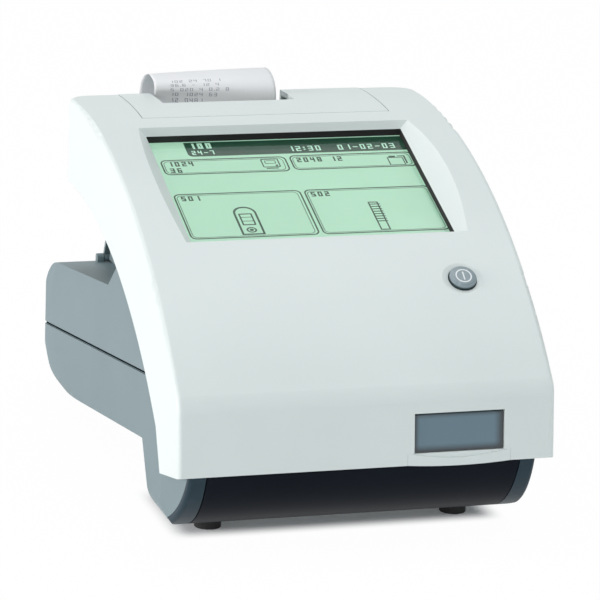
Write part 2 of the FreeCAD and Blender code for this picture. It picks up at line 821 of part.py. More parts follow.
def make_upper_housing():
    """Upper half of the grey housing: deck, neck, shelf under the cover's rear, and the paper tower."""
    outer = extrude_x(upper_edges(0), -housing_half_width, housing_half_width).common(rear_rounding(0))
    inner = extrude_x(upper_edges(housing_wall), housing_wall - housing_half_width,
                      housing_half_width - housing_wall).common(rear_rounding(housing_wall))
    shell = outer.cut(inner)
    wall = housing_wall
    tower = polygon_x(tower_side(seat_gap, wall), -tower_half_width, tower_half_width)
    shell = joined([shell, tower])
    reach = lid_y(tower_floor_height + wall, -overrun)
    bore_points = [(back(neck_from_front), cover_height),
                   (back(cover_length), cover_height),
                   (back(cover_length), lid_top_height),
                   (reach, lid_foot_height + wall),
                   (reach, tower_floor_height + wall),
                   (back(tower_floor_from_front), tower_floor_height + wall),
                   (back(deck_front_from_front), slab_z(slab_above, deck_front_from_front)),
                   (back(neck_from_front), arc_z(face_radius - side_band + cover_gap, neck_from_front))]
    shell = shell.cut(polygon_x(bore_points, wall - tower_half_width, tower_half_width - wall))
    room = display_back + bracket_thickness + screw_head_height + sliding_gap
    shell = shell.cut(screen_block(screen_bevel_side + screen_rim * 2, -screen_tool_height, room))
    shell = joined([shell] + printer_ledges() + roll_cheeks())
    clear = lid_half_width + panel_gap
    lid_path = [(lid_y(lid_top_height + overrun, lid_thickness + seat_gap), lid_top_height + seat_gap),
                (lid_y(lid_foot_height, -lid_tab_height), lid_top_height + seat_gap),
                (lid_y(lid_foot_height, -lid_tab_height), slab_z(slab_above, lid_foot_from_front)),
                (lid_y(lid_pin_z - lid_barrel, lid_barrel * 2 + seat_gap), slab_z(slab_above,
                                                                                  lid_foot_from_front))]
    shell = shell.cut(polygon_x(lid_path, -clear, clear))
    lug_reach = lid_pin_reach + seat_gap
    for side in (-1, 1):
        near = side * clear
        far = side * (clear + lug_reach)
        low = slab_z(slab_above, lid_foot_from_front) - housing_wall
        lug = block(min(near, far), max(near, far), lid_pin_y - lid_barrel, lid_pin_y + lid_barrel, low,
                    lid_pin_z)
        crown = rod(lid_barrel, Vector(near, lid_pin_y, lid_pin_z), Vector(far, lid_pin_y, lid_pin_z))
        shell = shell.fuse([lug, crown])
    shell = shell.cut(lid_pin_solid(running_gap))
    shell = shell.cut(cable_slot())
    for x, y in cover_screw_places():
        low = arc_z(face_radius - side_band + cover_gap, cover_boss_from_front) - housing_wall
        shell = shell.cut(rod(screw_radius + seat_gap, Vector(x, y, low), Vector(x, y, cover_height)))
    shell = shell.cut(seam_groove()).cut(rear_panel_cut(0))
    return shell.removeSplitter()


def printer_ledges():
    """Two ledges on the tower's side walls that the printer's bar stands on."""
    reach = tower_half_width - housing_wall / 2
    near = bar_near - printer_ledge / 2
    ledges = []
    for side in (-1, 1):
        ends = sorted((side * (reach - ledge_width), side * reach))
        ledges.append(block(ends[0], ends[1], near, near + printer_ledge + printer_wall,
                            printer_bottom_height - printer_ledge, printer_bottom_height))
    return ledges


def roll_cheeks():
    """Two upright ribs on the tower's floor that keep the paper roll in line."""
    low = tower_floor_height + housing_wall / 2
    near = back(roll_from_front) - roll_radius + printer_wall
    far = back(roll_from_front) + roll_radius - printer_wall
    return [block(left, left + printer_wall, near, far, low, low + roll_cheek_height)
            for left in (frame_left - printer_wall, frame_right)]


def cover_bosses(low_gap):
    """Two bosses that stand on the shelf of the housing and carry the rear of the cover."""
    bosses = []
    for x, y in cover_screw_places():
        low = arc_z(face_radius - side_band + cover_gap + housing_wall, cover_boss_from_front) + low_gap
        bosses.append(rod(cover_boss_radius, Vector(x, y, low), Vector(x, y, cover_height)))
    return bosses


def cover_screw_places():
    """Centres of the two screws that hold the rear of the cover."""
    return [(side * cover_boss_x, back(cover_boss_from_front)) for side in (-1, 1)]


def cover_clips():
    """Blocks behind the cover's band that rest against the front wall of the housing."""
    far = back(housing_front_from_front) - seat_gap
    return [block(x - clip_width / 2, x + clip_width / 2, back(cover_wall), far, clip_height,
                  clip_height + clip_width / 2) for x in (-cover_boss_x, clip_middle_x)]


def make_cover_screws():
    """Two screws from under the shelf into the bosses of the cover."""
    low = arc_z(face_radius - side_band + cover_gap, cover_boss_from_front) - seat_gap
    return Part.makeCompound([screw(Vector(x, y, low), Vector(0, 0, 1), screw_length + housing_wall)
                              for x, y in cover_screw_places()])


def cable_slot():
    """Slot in the floor of the tower for the printer's flat cable."""
    return block(printer_cable_x - cable_width / 2 - seat_gap, printer_cable_x + cable_width / 2 + seat_gap,
                 printer_cable_y - seat_gap, printer_cable_y + cable_thickness + seat_gap,
                 tower_floor_height, cover_height)


panel_low = connector_height - board_thickness - rear_port_inset
panel_high = connector_height + serial_height + rear_port_inset
panel_left = card_x - card_width / 2 - panel_side_margin
panel_right = inlet_x + inlet_radius + panel_side_margin
rear_panel_y = back(overall_depth) - rear_corner - rear_port_inset


def rear_panel_cut(gap):
    """Window in the back of the housing for the flat panel that holds the sockets."""
    return block(panel_left - gap, panel_right + gap, rear_panel_y - cover_wall * 2 - gap,
                 back(overall_depth) + overrun, panel_low - gap, panel_high + gap)


def base_plan(inset):
    """Upright block over the housing's plan, whose sides run in a little towards the front of the base."""
    near = back(housing_front_from_front + inset)
    half = housing_half_width - inset
    tip = skirt_half_width - inset
    points = [(-tip, near), (tip, near), (half, back(base_taper_from_front)), (half, back(overall_depth)),
              (-half, back(overall_depth)), (-half, back(base_taper_from_front))]
    slope = base_taper / (base_taper_from_front - housing_front_from_front)
    front = back(base_front_from_front + inset)
    nose = tip - slope * (near - front)
    points[:2] = [(-nose, front), (nose, front)]
    corners = [Vector(x, y, 0) for x, y in points]
    outline = Part.makePolygon(corners + corners[:1])
    return Part.Face(outline).extrude(Vector(0, 0, cover_height))


def lower_shape(inset, floor):
    """Solid of the lower housing, drawn in by an inset."""
    shape = extrude_x(lower_edges(inset, floor), inset - housing_half_width, housing_half_width - inset)
    shape = shape.common(rear_rounding(inset)).common(base_plan(inset))
    return shape.common(keel(inset, floor))


def rounded_lower_shape():
    """Solid of the lower housing with the upright corners at the front of the base rounded."""
    shape = lower_shape(0, 0)
    reach = skirt_half_width - base_taper
    corners = [edge for edge in shape.Edges
               if abs(edge.CenterOfMass.x) > reach and edge.BoundBox.YLength < base_toe_from_front
               and edge.CenterOfMass.y < back(base_toe_from_front) and edge.CenterOfMass.z < base_top
               and edge.BoundBox.ZMax > base_nose_height]
    return shape.makeFillet(base_corner_round, corners)


def skirt_zone(gap, half_width):
    """Space at the front of the base where the dark front stands."""
    return block(-half_width - gap, half_width + gap, front_edge, back(skirt_rear_from_front) + gap, 0,
                 base_top)


def skirt_space(gap):
    """Space of the dark moulding: the front of the base, and a lip that wraps each of its corners."""
    middle = skirt_zone(gap, skirt_half_width - skirt_lip)
    behind = extrude_x(lower_edges(skirt_wrap + gap, skirt_wrap + gap), -cover_half, cover_half)
    return joined([middle, skirt_zone(gap, housing_half_width).cut(behind)])


def make_lower_housing():
    """Lower half of the grey housing: belly, base block, battery bay, feet seats and posts."""
    shell = rounded_lower_shape().cut(lower_shape(housing_wall, housing_wall))
    shell = shell.cut(skirt_space(seat_gap))
    solids = [shell]
    lower_inside = lower_shape(0, 0)
    bay = placed(battery_box(battery_wall), slab_frame)
    solids.append(bay.common(lower_inside))
    for x, y in standoff_places():
        post = rod(standoff_radius, Vector(x, y, base_bottom), Vector(x, y, board_height))
        solids.append(post.common(lower_inside))
    for x, y in chassis_posts():
        post = rod(standoff_radius, Vector(x, y, base_bottom), Vector(x, y, chassis_floor))
        solids.append(post.common(lower_inside))
    for x, y in rear_board_posts():
        top = connector_height - board_thickness
        post = rod(standoff_radius, Vector(x, y, base_bottom), Vector(x, y, top))
        solids.append(post.common(lower_inside))
    for x, y in foot_places(rear_foot_from_front):
        top = slab_z(-slab_below, rear_foot_from_front) + housing_wall
        solids.append(rod(rear_boss_radius, Vector(x, y, foot_pad - foot_recess), Vector(x, y, top)))
    shape = joined(solids)
    shape = shape.cut(placed(battery_box(0), slab_frame)).cut(placed(door_path(sliding_gap), slab_frame))
    for x, y in foot_places(rear_foot_from_front):
        shape = shape.cut(rod(foot_radius + seat_gap, Vector(x, y, 0), Vector(x, y, foot_pad)))
    for x, y in foot_places(front_foot_from_front):
        shape = shape.cut(rod(foot_radius + seat_gap, Vector(x, y, 0), Vector(x, y,
                                                                              base_bottom + foot_recess)))
    for x, y in standoff_places() + rear_board_posts():
        hole = rod(screw_radius, Vector(x, y, board_height - screw_length), Vector(x, y, cover_height))
        shape = shape.cut(hole)
    shape = shape.cut(port_cut(chassis_wall))
    shape = shape.cut(seam_groove()).cut(rear_panel_cut(0))
    return shape.removeSplitter()


def foot_places(distance):
    """Centres of the two feet at a distance behind the front edge."""
    return [(-foot_spacing, back(distance)), (foot_spacing, back(distance))]


chassis_floor = table_base - sliding_gap - chassis_wall
board_inset = standoff_radius + board_thickness


def standoff_places():
    """Centres of the four posts under the main board."""
    near = back(board_from_front + board_length * rear_post_share)
    far = back(board_from_front + board_length) - board_inset
    return [(x, y) for x in (board_left + board_inset, board_right - board_inset) for y in (near, far)]


def chassis_posts():
    """Centres of the posts under the table's chassis."""
    reach = table_width / 2 - standoff_radius
    ends = (back(skirt_rear_from_front) + standoff_radius,
            back(chassis_from_front + chassis_length) - board_inset)
    return [(port_middle + side * reach, y) for side in (-1, 1) for y in ends]


def rear_board_posts():
    """Centres of the posts under the socket board."""
    near = rear_board_front() + board_inset
    far = rear_panel_y - cover_wall * 2 - board_inset
    return [(x, y) for x in (panel_left + board_inset, panel_right - board_inset) for y in (near, far)]


def rear_board_front():
    """Y of the socket board's front edge."""
    return rear_panel_y - cover_wall * 2 - card_depth - board_inset


bay_half = battery_length + contact_thickness * 2 + contact_gap * 2
bay_near = battery_front_from_front - parting_from_front
bay_far = bay_near + battery_rows * (battery_radius * 2 + battery_gap) + battery_gap
bay_floor = -slab_below + door_thickness + sliding_gap
bay_ceiling = bay_floor + battery_radius * 2 + battery_gap * 2


def battery_box(wall):
    """Battery bay in the slab's axes: with a wall it is the bay's body, without one its empty inside."""
    shape = block(-bay_half - wall, bay_half + wall, bay_near - wall, bay_far + wall,
                  -slab_below - (0 if wall else overrun), bay_ceiling + wall)
    if wall:
        pad = block(-bay_half - door_ledge - door_tongue - wall * 2,
                    bay_half + door_ledge + door_tongue + wall * 2,
                    bay_near - wall, bay_far + door_travel + wall * 2, -slab_below, bay_floor + wall)
        shape = shape.fuse(pad)
    return shape


def door_path(gap):
    """Space that the battery door slides in, in the slab's axes."""
    half = bay_half + door_ledge + gap
    plate = block(-half, half, bay_near - gap, bay_far + door_travel + gap * 2, -slab_below - overrun,
                  bay_floor)
    middle = -slab_below + door_thickness / 2
    half = half + door_tongue
    tongue = block(-half, half, bay_near - gap, bay_far + door_travel + gap * 2,
                   middle - door_tongue_thickness / 2 - gap / 2, middle + door_tongue_thickness / 2 + gap / 2)
    return plate.fuse(tongue)


def make_battery_door():
    """Sliding door of the battery bay, with a tongue along each side and grip ribs."""
    half = bay_half + door_ledge
    shape = block(-half, half, bay_near, bay_far, -slab_below, -slab_below + door_thickness)
    middle = -slab_below + door_thickness / 2
    tongue = block(-half - door_tongue, half + door_tongue, bay_near, bay_far,
                   middle - door_tongue_thickness / 2, middle + door_tongue_thickness / 2)
    shape = shape.fuse(tongue)
    for row in range(door_grip_rows):
        start = bay_near + door_grip_pitch * (row + 1)
        groove = block(-door_grip_width / 2, door_grip_width / 2, start, start + door_grip_depth,
                       -slab_below - overrun, -slab_below + door_grip_depth)
        shape = shape.cut(groove)
    return placed(shape.removeSplitter(), slab_frame)


def battery_places():
    """Centre of each cell in the slab's axes, and the side that its button faces."""
    pitch = battery_radius * 2 + battery_gap
    level = bay_floor + battery_gap + battery_radius
    places = []
    for column in (-1, 1):
        for row in range(battery_rows):
            centre_y = bay_near + battery_gap + battery_radius + row * pitch
            places.append((column * (battery_length / 2 + contact_gap / 2), centre_y, level,
                           1 if row % 2 else -1))
    return places


def make_batteries():
    """Cells with their button ends, as separate solids."""
    button_length = contact_gap / 2
    cells = []
    for x, y, z, side in battery_places():
        start = Vector(x - side * battery_length / 2, y, z)
        middle = Vector(x + side * (battery_length / 2 - button_length), y, z)
        end = Vector(x + side * battery_length / 2, y, z)
        cell = rod(battery_radius, start, middle).fuse(rod(battery_button_radius, middle, end))
        cells.append(placed(cell.removeSplitter(), slab_frame))
    return Part.makeCompound(cells)


def make_battery_contacts():
    """Sprung contact plates at the two ends of each row of cells."""
    plates = []
    reach = battery_length + contact_gap / 2
    for row in range(battery_rows):
        y = battery_places()[row][1]
        z = battery_places()[row][2]
        for side in (-1, 1):
            near = side * (reach + seat_gap / 2)
            far = near + side * contact_thickness
            plate = block(min(near, far), max(near, far), y - battery_radius / 2, y + battery_radius / 2,
                          z - battery_radius, z + battery_radius / 2)
            plates.append(placed(plate, slab_frame))
    return Part.makeCompound(plates)


def make_base_skirt():
    """Dark moulding that forms the front corners of the base, with a backing behind the front panel."""
    inner = lower_shape(base_wall + panel_seam + base_wall, base_wall * 2 + panel_seam)
    solid = rounded_lower_shape().cut(inner).common(skirt_space(0))
    pocket = lower_shape(-overrun, -overrun).cut(lower_shape(base_wall + panel_seam / 2,
                                                             base_wall + panel_seam / 2))
    pocket = pocket.common(skirt_zone(overrun, panel_half_width - overrun))
    solid = solid.cut(pocket)
    for x, y in foot_places(front_foot_from_front):
        solid = solid.cut(rod(foot_radius + seat_gap, Vector(x, y, 0), Vector(x, y,
                                                                              base_bottom + foot_recess)))
    return solid.removeSplitter()


def make_base_front_panel():
    """Near-black front panel of the base, let into the dark moulding with a seam at each end."""
    solid = lower_shape(0, 0).cut(lower_shape(base_wall, base_wall))
    return solid.common(skirt_zone(-panel_seam, panel_half_width)).removeSplitter()


def make_front_feet():
    """Two rubber pads under the base."""
    pads = [rod(foot_radius, Vector(x, y, 0), Vector(x, y, base_bottom + foot_recess - seat_gap))
            for x, y in foot_places(front_foot_from_front)]
    return Part.makeCompound(pads)


def make_rear_feet():
    """Two rubber pads in the bosses under the rear of the belly."""
    pads = [rod(foot_radius, Vector(x, y, 0), Vector(x, y, foot_pad - seat_gap / 2))
            for x, y in foot_places(rear_foot_from_front)]
    return Part.makeCompound(pads)


def make_screen_gasket():
    """Black seal between the cover's rim and the touch panel."""
    frame = screen_block(gasket_border, 0, gasket_depth)
    return frame.cut(screen_block(0, -overrun, gasket_depth + overrun))


def make_touch_panel():
    """Glass touch panel over the display."""
    return screen_block(gasket_border, gasket_depth, gasket_depth + touch_thickness)


display_top = gasket_depth + touch_thickness
display_back = display_top + display_thickness


def make_display_module():
    """Display module behind the glass."""
    return screen_block(gasket_border - seat_gap, display_top, display_back)


def screen_post_places():
    """Centres of the screw posts beside the screen, in the screen's plane."""
    x = screen_width / 2 + gasket_border + screen_boss_radius + seat_gap * 2
    y = screen_height / 2 - bracket_ear
    return [(side * x, end * y) for side in (-1, 1) for end in (-1, 1)]


def make_display_bracket():
    """Steel plate that clamps the display to the cover, with an ear at each screw post."""
    plate = screen_block(gasket_border, display_back, display_back + bracket_thickness)
    window = screen_block(-bracket_ear * 2, display_back - overrun,
                          display_back + bracket_thickness + overrun)
    shape = plate.cut(window)
    for x, y in screen_post_places():
        ear = block(min(0, x), max(0, x) , y - screen_boss_radius, y + screen_boss_radius,
                    -display_back - bracket_thickness, -display_back)
        tip = Part.makeCylinder(screen_boss_radius, bracket_thickness,
                                Vector(x, y, -display_back - bracket_thickness))
        ear = ear.fuse(tip).cut(block(-screen_width / 2, screen_width / 2, -screen_height, screen_height,
                                      -display_back * 2, overrun))
        shape = shape.fuse(placed(ear, screen_frame))
    for x, y in screen_post_places():
        hole = Part.makeCylinder(screw_radius + seat_gap, bracket_thickness * 2 + overrun,
                                 Vector(x, y, -display_back - bracket_thickness * 2))
        shape = shape.cut(placed(hole, screen_frame))
    return shape.removeSplitter()


def screw(head_point, direction, length):
    """Pan-head screw: its head lies on the point, its shank runs along the direction."""
    axis = Vector(direction)
    axis.normalize()
    head = rod(screw_head_radius, head_point - axis * screw_head_height, head_point)
    shank = rod(screw_radius, head_point, head_point + axis * length)
    return head.fuse(shank).removeSplitter()


def make_display_screws():
    """Four screws that hold the display bracket to the cover's posts."""
    screws = []
    for x, y in screen_post_places():
        local = screw(Vector(x, y, -display_back - bracket_thickness), Vector(0, 0, 1),
                      display_back - gasket_depth)
        screws.append(placed(local, screen_frame))
    return Part.makeCompound(screws)


button_floor = button_proud - dish_depth - button_height
switch_top = button_floor - button_travel - sliding_gap
button_board_top = switch_top - switch_height


def make_power_button():
    """Round power button with a domed top and a collar that keeps it behind the cover."""
    top = button_proud - dish_depth
    cap = Part.makeCylinder(button_diameter / 2, button_height, Vector(0, 0, button_floor))
    radius = ((button_diameter / 2) ** 2 + button_dome ** 2) / (2 * button_dome)
    dome = Part.makeSphere(radius, Vector(0, 0, top - radius))
    cap = cap.common(dome)
    collar = Part.makeCylinder(button_collar / 2, button_collar_height, Vector(0, 0, button_floor))
    return placed(cap.fuse(collar).removeSplitter(), button_frame)


def make_switch_plunger():
    """Plunger of the power switch, which travels with the button."""
    reach = button_travel + sliding_gap + plunger_length
    stem = Part.makeCylinder(switch_plunger_diameter / 2, reach, Vector(0, 0, button_floor - reach))
    return placed(stem, button_frame)


def make_power_switch():
    """Body of the power switch, bored for its plunger."""
    body = block(-switch_width / 2, switch_width / 2, -switch_width / 2, switch_width / 2, button_board_top,
                 switch_top)
    bore = Part.makeCylinder(switch_plunger_diameter / 2 + running_gap, switch_height + plunger_length,
                             Vector(0, 0, switch_top - plunger_length - button_travel - sliding_gap))
    return placed(body.cut(bore), button_frame)


button_post_x = button_board_length / 2 - button_post_radius - seat_gap


def make_button_board():
    """Small circuit board that carries the power switch."""
    board = block(-button_board_length / 2, button_board_length / 2, -button_board_width / 2,
                  button_board_width / 2, button_board_top - button_board_thickness, button_board_top)
    return placed(board, button_frame)


def cover_posts():
    """Posts inside the cover: four for the display, two for the button's board."""
    posts = []
    for x, y in screen_post_places():
        post = Part.makeCylinder(screen_boss_radius, display_back + screen_rim, Vector(x, y, -display_back))
        posts.append(placed(post, screen_frame))
    for side in (-1, 1):
        post = Part.makeCylinder(button_post_radius, -button_board_top - cover_wall / 2,
                                 Vector(side * button_post_x, 0, button_board_top))
        posts.append(placed(post, button_frame))
    return posts


def cover_post_holes():
    """Screw holes in the display posts."""
    holes = []
    for x, y in screen_post_places():
        hole = Part.makeCylinder(screw_radius, display_back, Vector(x, y, -display_back - overrun))
        holes.append(placed(hole, screen_frame))
    return holes


def gear(module, teeth, width, bore, phase, backlash):
    """Spur gear about the X axis: straight-sided teeth, one of them centred on the phase angle."""
    pitch = module * teeth / 2
    tip = pitch + module
    root = pitch - module * root_share
    half_pitch_angle = (math.pi * module / 2 - backlash) / 2 / pitch
    tip_angle = half_pitch_angle * tip_share
    root_angle = min(half_pitch_angle * root_width_share, math.pi / teeth)
    points = []
    for index in range(teeth):
        middle = phase + index * 2 * math.pi / teeth
        for radius, turn in ((root, -root_angle), (tip, -tip_angle), (tip, tip_angle), (root, root_angle)):
            points.append(Vector(0, radius * math.cos(middle + turn), radius * math.sin(middle + turn)))
    face = Part.Face(Part.makePolygon(points + points[:1]))
    body = face.extrude(Vector(width, 0, 0))
    if bore == 0:
        return body
    return body.cut(rod(bore, Vector(-width, 0, 0), Vector(width * 2, 0, 0)))


roll_height = tower_floor_height + housing_wall + roll_radius + seat_gap
paper_left = paper_centre_x - paper_width / 2
paper_right = paper_centre_x + paper_width / 2
frame_left = paper_left - printer_side_gap
frame_right = paper_right + printer_side_gap
paper_y = back(paper_rise_from_front)
platen_y = paper_y + paper_thickness / 2 + running_gap + platen_radius
gear_left = frame_right + printer_wall + sliding_gap
idler_y = platen_y - gear_module * (platen_teeth + idler_teeth) / 2
motor_drop = math.radians(motor_drop_angle)
motor_reach = gear_module * (idler_teeth + motor_teeth) / 2
motor_y = idler_y + motor_reach * math.cos(motor_drop)
motor_z = print_line_height - motor_reach * math.sin(motor_drop)
bar_near = back(printer_bar_from_front)
bar_far = bar_near + printer_wall
motor_plate_x = gear_left + gear_width + sliding_gap


def make_platen_roller():
    """Rubber roller that draws the paper past the print head."""
    tube = rod(platen_radius, Vector(paper_left, platen_y, print_line_height),
               Vector(paper_right, platen_y, print_line_height))
    return tube.cut(platen_shaft_solid(0))


def platen_shaft_solid(gap):
    """Shaft of the roller, from the left frame wall through its gear, grown by a gap."""
    return rod(platen_shaft_radius + gap, Vector(frame_left - printer_wall, platen_y, print_line_height),
               Vector(gear_left + gear_width, platen_y, print_line_height))


def make_platen_gear():
    """Gear on the end of the roller's shaft."""
    shape = gear(gear_module, platen_teeth, gear_width, platen_shaft_radius, math.pi, gear_backlash)
    shape.translate(Vector(gear_left, platen_y, print_line_height))
    return shape


def make_idler_gear():
    """Idler gear between the motor and the roller, with a gap facing the roller's tooth."""
    phase = math.pi / idler_teeth
    shape = gear(gear_module, idler_teeth, gear_width, idler_pin_radius + running_gap, phase, gear_backlash)
    shape.translate(Vector(gear_left, idler_y, print_line_height))
    return shape


def idler_pin_solid():
    """Pin of the frame that the idler gear turns on."""
    return rod(idler_pin_radius, Vector(frame_right + printer_wall / 2, idler_y, print_line_height),
               Vector(gear_left + gear_width + sliding_gap / 2, idler_y, print_line_height))


def make_motor_gear():
    """Small gear cut on the end of the printer motor's shaft, meshed with the idler."""
    toward_motor = -motor_drop
    tooth = 2 * math.pi / idler_teeth
    offset = (toward_motor - math.pi / idler_teeth) / tooth
    idler_error = (offset - round(offset)) * tooth
    phase = toward_motor + math.pi + math.pi / motor_teeth + idler_error * idler_teeth / motor_teeth
    shape = gear(gear_module, motor_teeth, gear_width, 0, phase, gear_backlash)
    shape.translate(Vector(gear_left, motor_y, motor_z))
    return shape.fuse(motor_shaft_solid(0)).removeSplitter()


def make_printer_motor():
    """Stepping motor of the printer, a round can on the frame's outer plate."""
    start = motor_plate_x + motor_plate
    can = rod(motor_radius, Vector(start, motor_y, motor_z), Vector(start + motor_length, motor_y, motor_z))
    return can.cut(motor_shaft_solid(running_gap))


def motor_shaft_solid(gap):
    """Shaft of the printer motor from its gear into the can, grown by a gap."""
    return rod(motor_shaft_radius + gap, Vector(gear_left + gear_width / 2, motor_y, motor_z),
               Vector(motor_plate_x + motor_plate + motor_shaft_depth + gap, motor_y, motor_z))


def make_printer_frame():
    """Pressed steel frame of the printer: bar across the tower, two side walls and the motor's plate."""
    low = printer_bottom_height
    high = printer_top_height
    reach = tower_half_width - housing_wall - sliding_gap
    far = platen_y + platen_radius
    parts = [block(-reach, reach, bar_near, bar_far, low, high)]
    for left in (frame_left - printer_wall, frame_right):
        parts.append(block(left, left + printer_wall, bar_far - printer_wall / 2, far, low, high))
    parts.append(block(motor_plate_x, motor_plate_x + motor_plate, bar_far - printer_wall / 2, idler_y,
                       motor_z - motor_radius, high))
    parts.append(idler_pin_solid())
    shape = joined(parts)
    shape = shape.cut(platen_shaft_solid(running_gap)).cut(motor_shaft_solid(running_gap))
    return shape.cut(arm_pivot_solid(running_gap)).removeSplitter()


def arm_pivot_solid(gap):
    """Pivot of the paper arm through the left frame wall, grown by a gap."""
    y = back(arm_pivot_from_front)
    return rod(arm_pivot_radius + gap, Vector(frame_left - printer_wall - arm_width - gap, y,
                                              arm_rest_height),
               Vector(frame_left + gap, y, arm_rest_height))


def make_paper_arm():
    """Lever that frees the print head, with its pivot and a round end for the finger."""
    y = back(arm_pivot_from_front)
    right = frame_left - printer_wall - sliding_gap
    left = frame_left - printer_wall - arm_width
    bar = block(left, right, y, y + arm_length, arm_rest_height - arm_thickness,
                arm_rest_height + arm_thickness)
    hub = rod(arm_thickness * 2, Vector(left, y, arm_rest_height), Vector(right, y, arm_rest_height))
    knob = rod(arm_knob_radius, Vector(left, y + arm_length, arm_rest_height),
               Vector(right, y + arm_length, arm_rest_height))
    return joined([bar, hub, knob, arm_pivot_solid(0)])


head_back = paper_y - paper_thickness / 2 - running_gap / 2 - head_thickness


def make_thermal_head():
    """Print head plate in front of the paper, pressed towards the roller."""
    return block(paper_left, paper_right, head_back, head_back + head_thickness,
                 print_line_height - head_height / 2, print_line_height + head_height / 2)


def make_head_springs():
    """Two springs between the frame's bar and the print head, as closed sleeves."""
    springs = []
    for x in (paper_centre_x - head_spring_offset, paper_centre_x + head_spring_offset):
        start = Vector(x, bar_far, print_line_height)
        end = Vector(x, head_back, print_line_height)
        springs.append(rod(head_spring_radius, start, end).cut(rod(head_spring_radius - head_spring_wire,
                                                                   start, end)))
    return Part.makeCompound(springs)


def make_paper_roll():
    """Roll of paper in the bay behind the printer."""
    tube = rod(roll_radius, Vector(paper_left, back(roll_from_front), roll_height),
               Vector(paper_right, back(roll_from_front), roll_height))
    return tube.cut(rod(roll_core_radius, Vector(paper_left - overrun, back(roll_from_front), roll_height),
                        Vector(paper_right + overrun, back(roll_from_front), roll_height)))


def make_paper_core():
    """Cardboard core of the roll."""
    tube = rod(roll_core_radius, Vector(paper_left, back(roll_from_front), roll_height),
               Vector(paper_right, back(roll_from_front), roll_height))
    inner = roll_core_radius - roll_core_wall
    return tube.cut(rod(inner, Vector(paper_left - overrun, back(roll_from_front), roll_height),
                        Vector(paper_right + overrun, back(roll_from_front), roll_height)))


def make_paper_strip():
    """Printed paper: straight from the roll through the printer, up through the notch and over in a curl."""
    half = paper_thickness / 2
    curl_z = paper_top - half - paper_curl_radius
    middle = paper_y + paper_curl_radius
    nip = Vector(0, paper_y, printer_bottom_height - printer_wall)
    centre = Vector(0, back(roll_from_front), roll_height)
    away = nip - centre
    distance = away.Length
    reach = roll_radius + seat_gap + half
    turn = math.atan2(away.z, away.y) - math.acos(reach / distance)
    touch = centre + Vector(0, math.cos(turn), math.sin(turn)) * reach
    side = Vector(0, math.cos(turn), math.sin(turn)) * half
    pieces = [Part.makePolygon([touch - side, nip - side, nip + side, touch + side, touch - side])]
    flat = Part.Face(pieces[0]).extrude(Vector(paper_width, 0, 0))
    flat.translate(Vector(paper_left, 0, 0))
    upright = block(paper_left, paper_right, paper_y - half, paper_y + half, nip.z - half, curl_z)
    start = Vector(paper_left, middle, curl_z)
    ring = Part.makeCylinder(paper_curl_radius + half, paper_width, start, Vector(1, 0, 0))
    ring = ring.cut(Part.makeCylinder(paper_curl_radius - half, paper_width * 2, start - Vector(overrun,
                                                                                                0, 0),
                                      Vector(1, 0, 0)))
    ring = ring.common(block(paper_left, paper_right, back(0), back(overall_depth), curl_z,
                             paper_top + overrun))
    far = middle + paper_curl_radius
    tail = block(paper_left, paper_right, far - half, far + half, curl_z - paper_tail, curl_z)
    return joined([flat, upright, ring, tail])


table_left = port_middle - table_width / 2
table_right = port_middle + table_width / 2
table_top = table_base + table_thickness
table_near = back(table_front_from_front)
insert_near = table_near + table_nose
insert_bottom = table_top - insert_recess


def table_rebate(gap):
    """Space along the table's left edge for its rack, grown by a gap."""
    return block(table_left - overrun, table_left + rack_depth + gap, back(rack_start_from_front) - gap,
                 back(rack_end_from_front) + gap, table_base - overrun, table_top + overrun)


rack_depth = rack_width + drive_module * (1 + root_share)


def make_test_table():
    """Test table: a flat tray with a rounded nose, a recess for its insert and a seat for the white bar."""
    body = block(table_left, table_right, table_near, table_near + table_length, table_base, table_top)
    upright = [edge for edge in body.Edges
               if abs(edge.tangentAt(edge.FirstParameter).z) > direction_limit
               and edge.CenterOfMass.y < table_near + overrun]
    body = body.makeFillet(table_nose_round, upright)
    slope_run = table_nose / 2
    wedge = polygon_x([(table_near - overrun, table_top - table_thickness * nose_share),
                       (table_near + slope_run, table_top + tolerance),
                       (table_near - overrun,
                        table_top + overrun)], table_left - overrun, table_right + overrun)
    body = body.cut(wedge)
    half = insert_width / 2 + seat_gap
    body = body.cut(block(port_middle - half, port_middle + half, insert_near - seat_gap,
                          insert_near + insert_length + seat_gap, insert_bottom, table_top + overrun))
    seat_near = insert_near + insert_length + calibration_gap
    seat_far = seat_near + calibration_length
    body = body.cut(block(port_middle - half, port_middle + half, seat_near, seat_far,
                          table_top - calibration_thickness, table_top + overrun))
    return body.cut(table_rebate(0))




def make_table_insert():
    """Insert that lies in the table, with a channel for a test strip and a finger notch."""
    half = insert_width / 2
    body = rounded_block(port_middle - half, port_middle + half, insert_near, insert_near + insert_length,
                         insert_bottom, insert_bottom + insert_thickness, cover_edge_round)
    top = insert_bottom + insert_thickness
    start = insert_near + (insert_length - strip_channel_length)
    channel = block(port_middle - strip_channel_width / 2, port_middle + strip_channel_width / 2,
                    start, start + strip_channel_length + overrun, top - strip_channel_depth, top + overrun)
    notch = Part.makeCylinder(strip_channel_width, insert_thickness, Vector(port_middle, insert_near,
                                                                           top - strip_channel_depth))
    return body.cut(channel).cut(notch).removeSplitter()


def make_calibration_bar():
    """White reference bar let into the table behind the insert."""
    half = insert_width / 2
    near = insert_near + insert_length + calibration_gap
    return block(port_middle - half, port_middle + half, near, near + calibration_length,
                 table_top - calibration_thickness, table_top)


def drive_pitch_line():
    """X of the rack's pitch line."""
    return table_left + drive_module


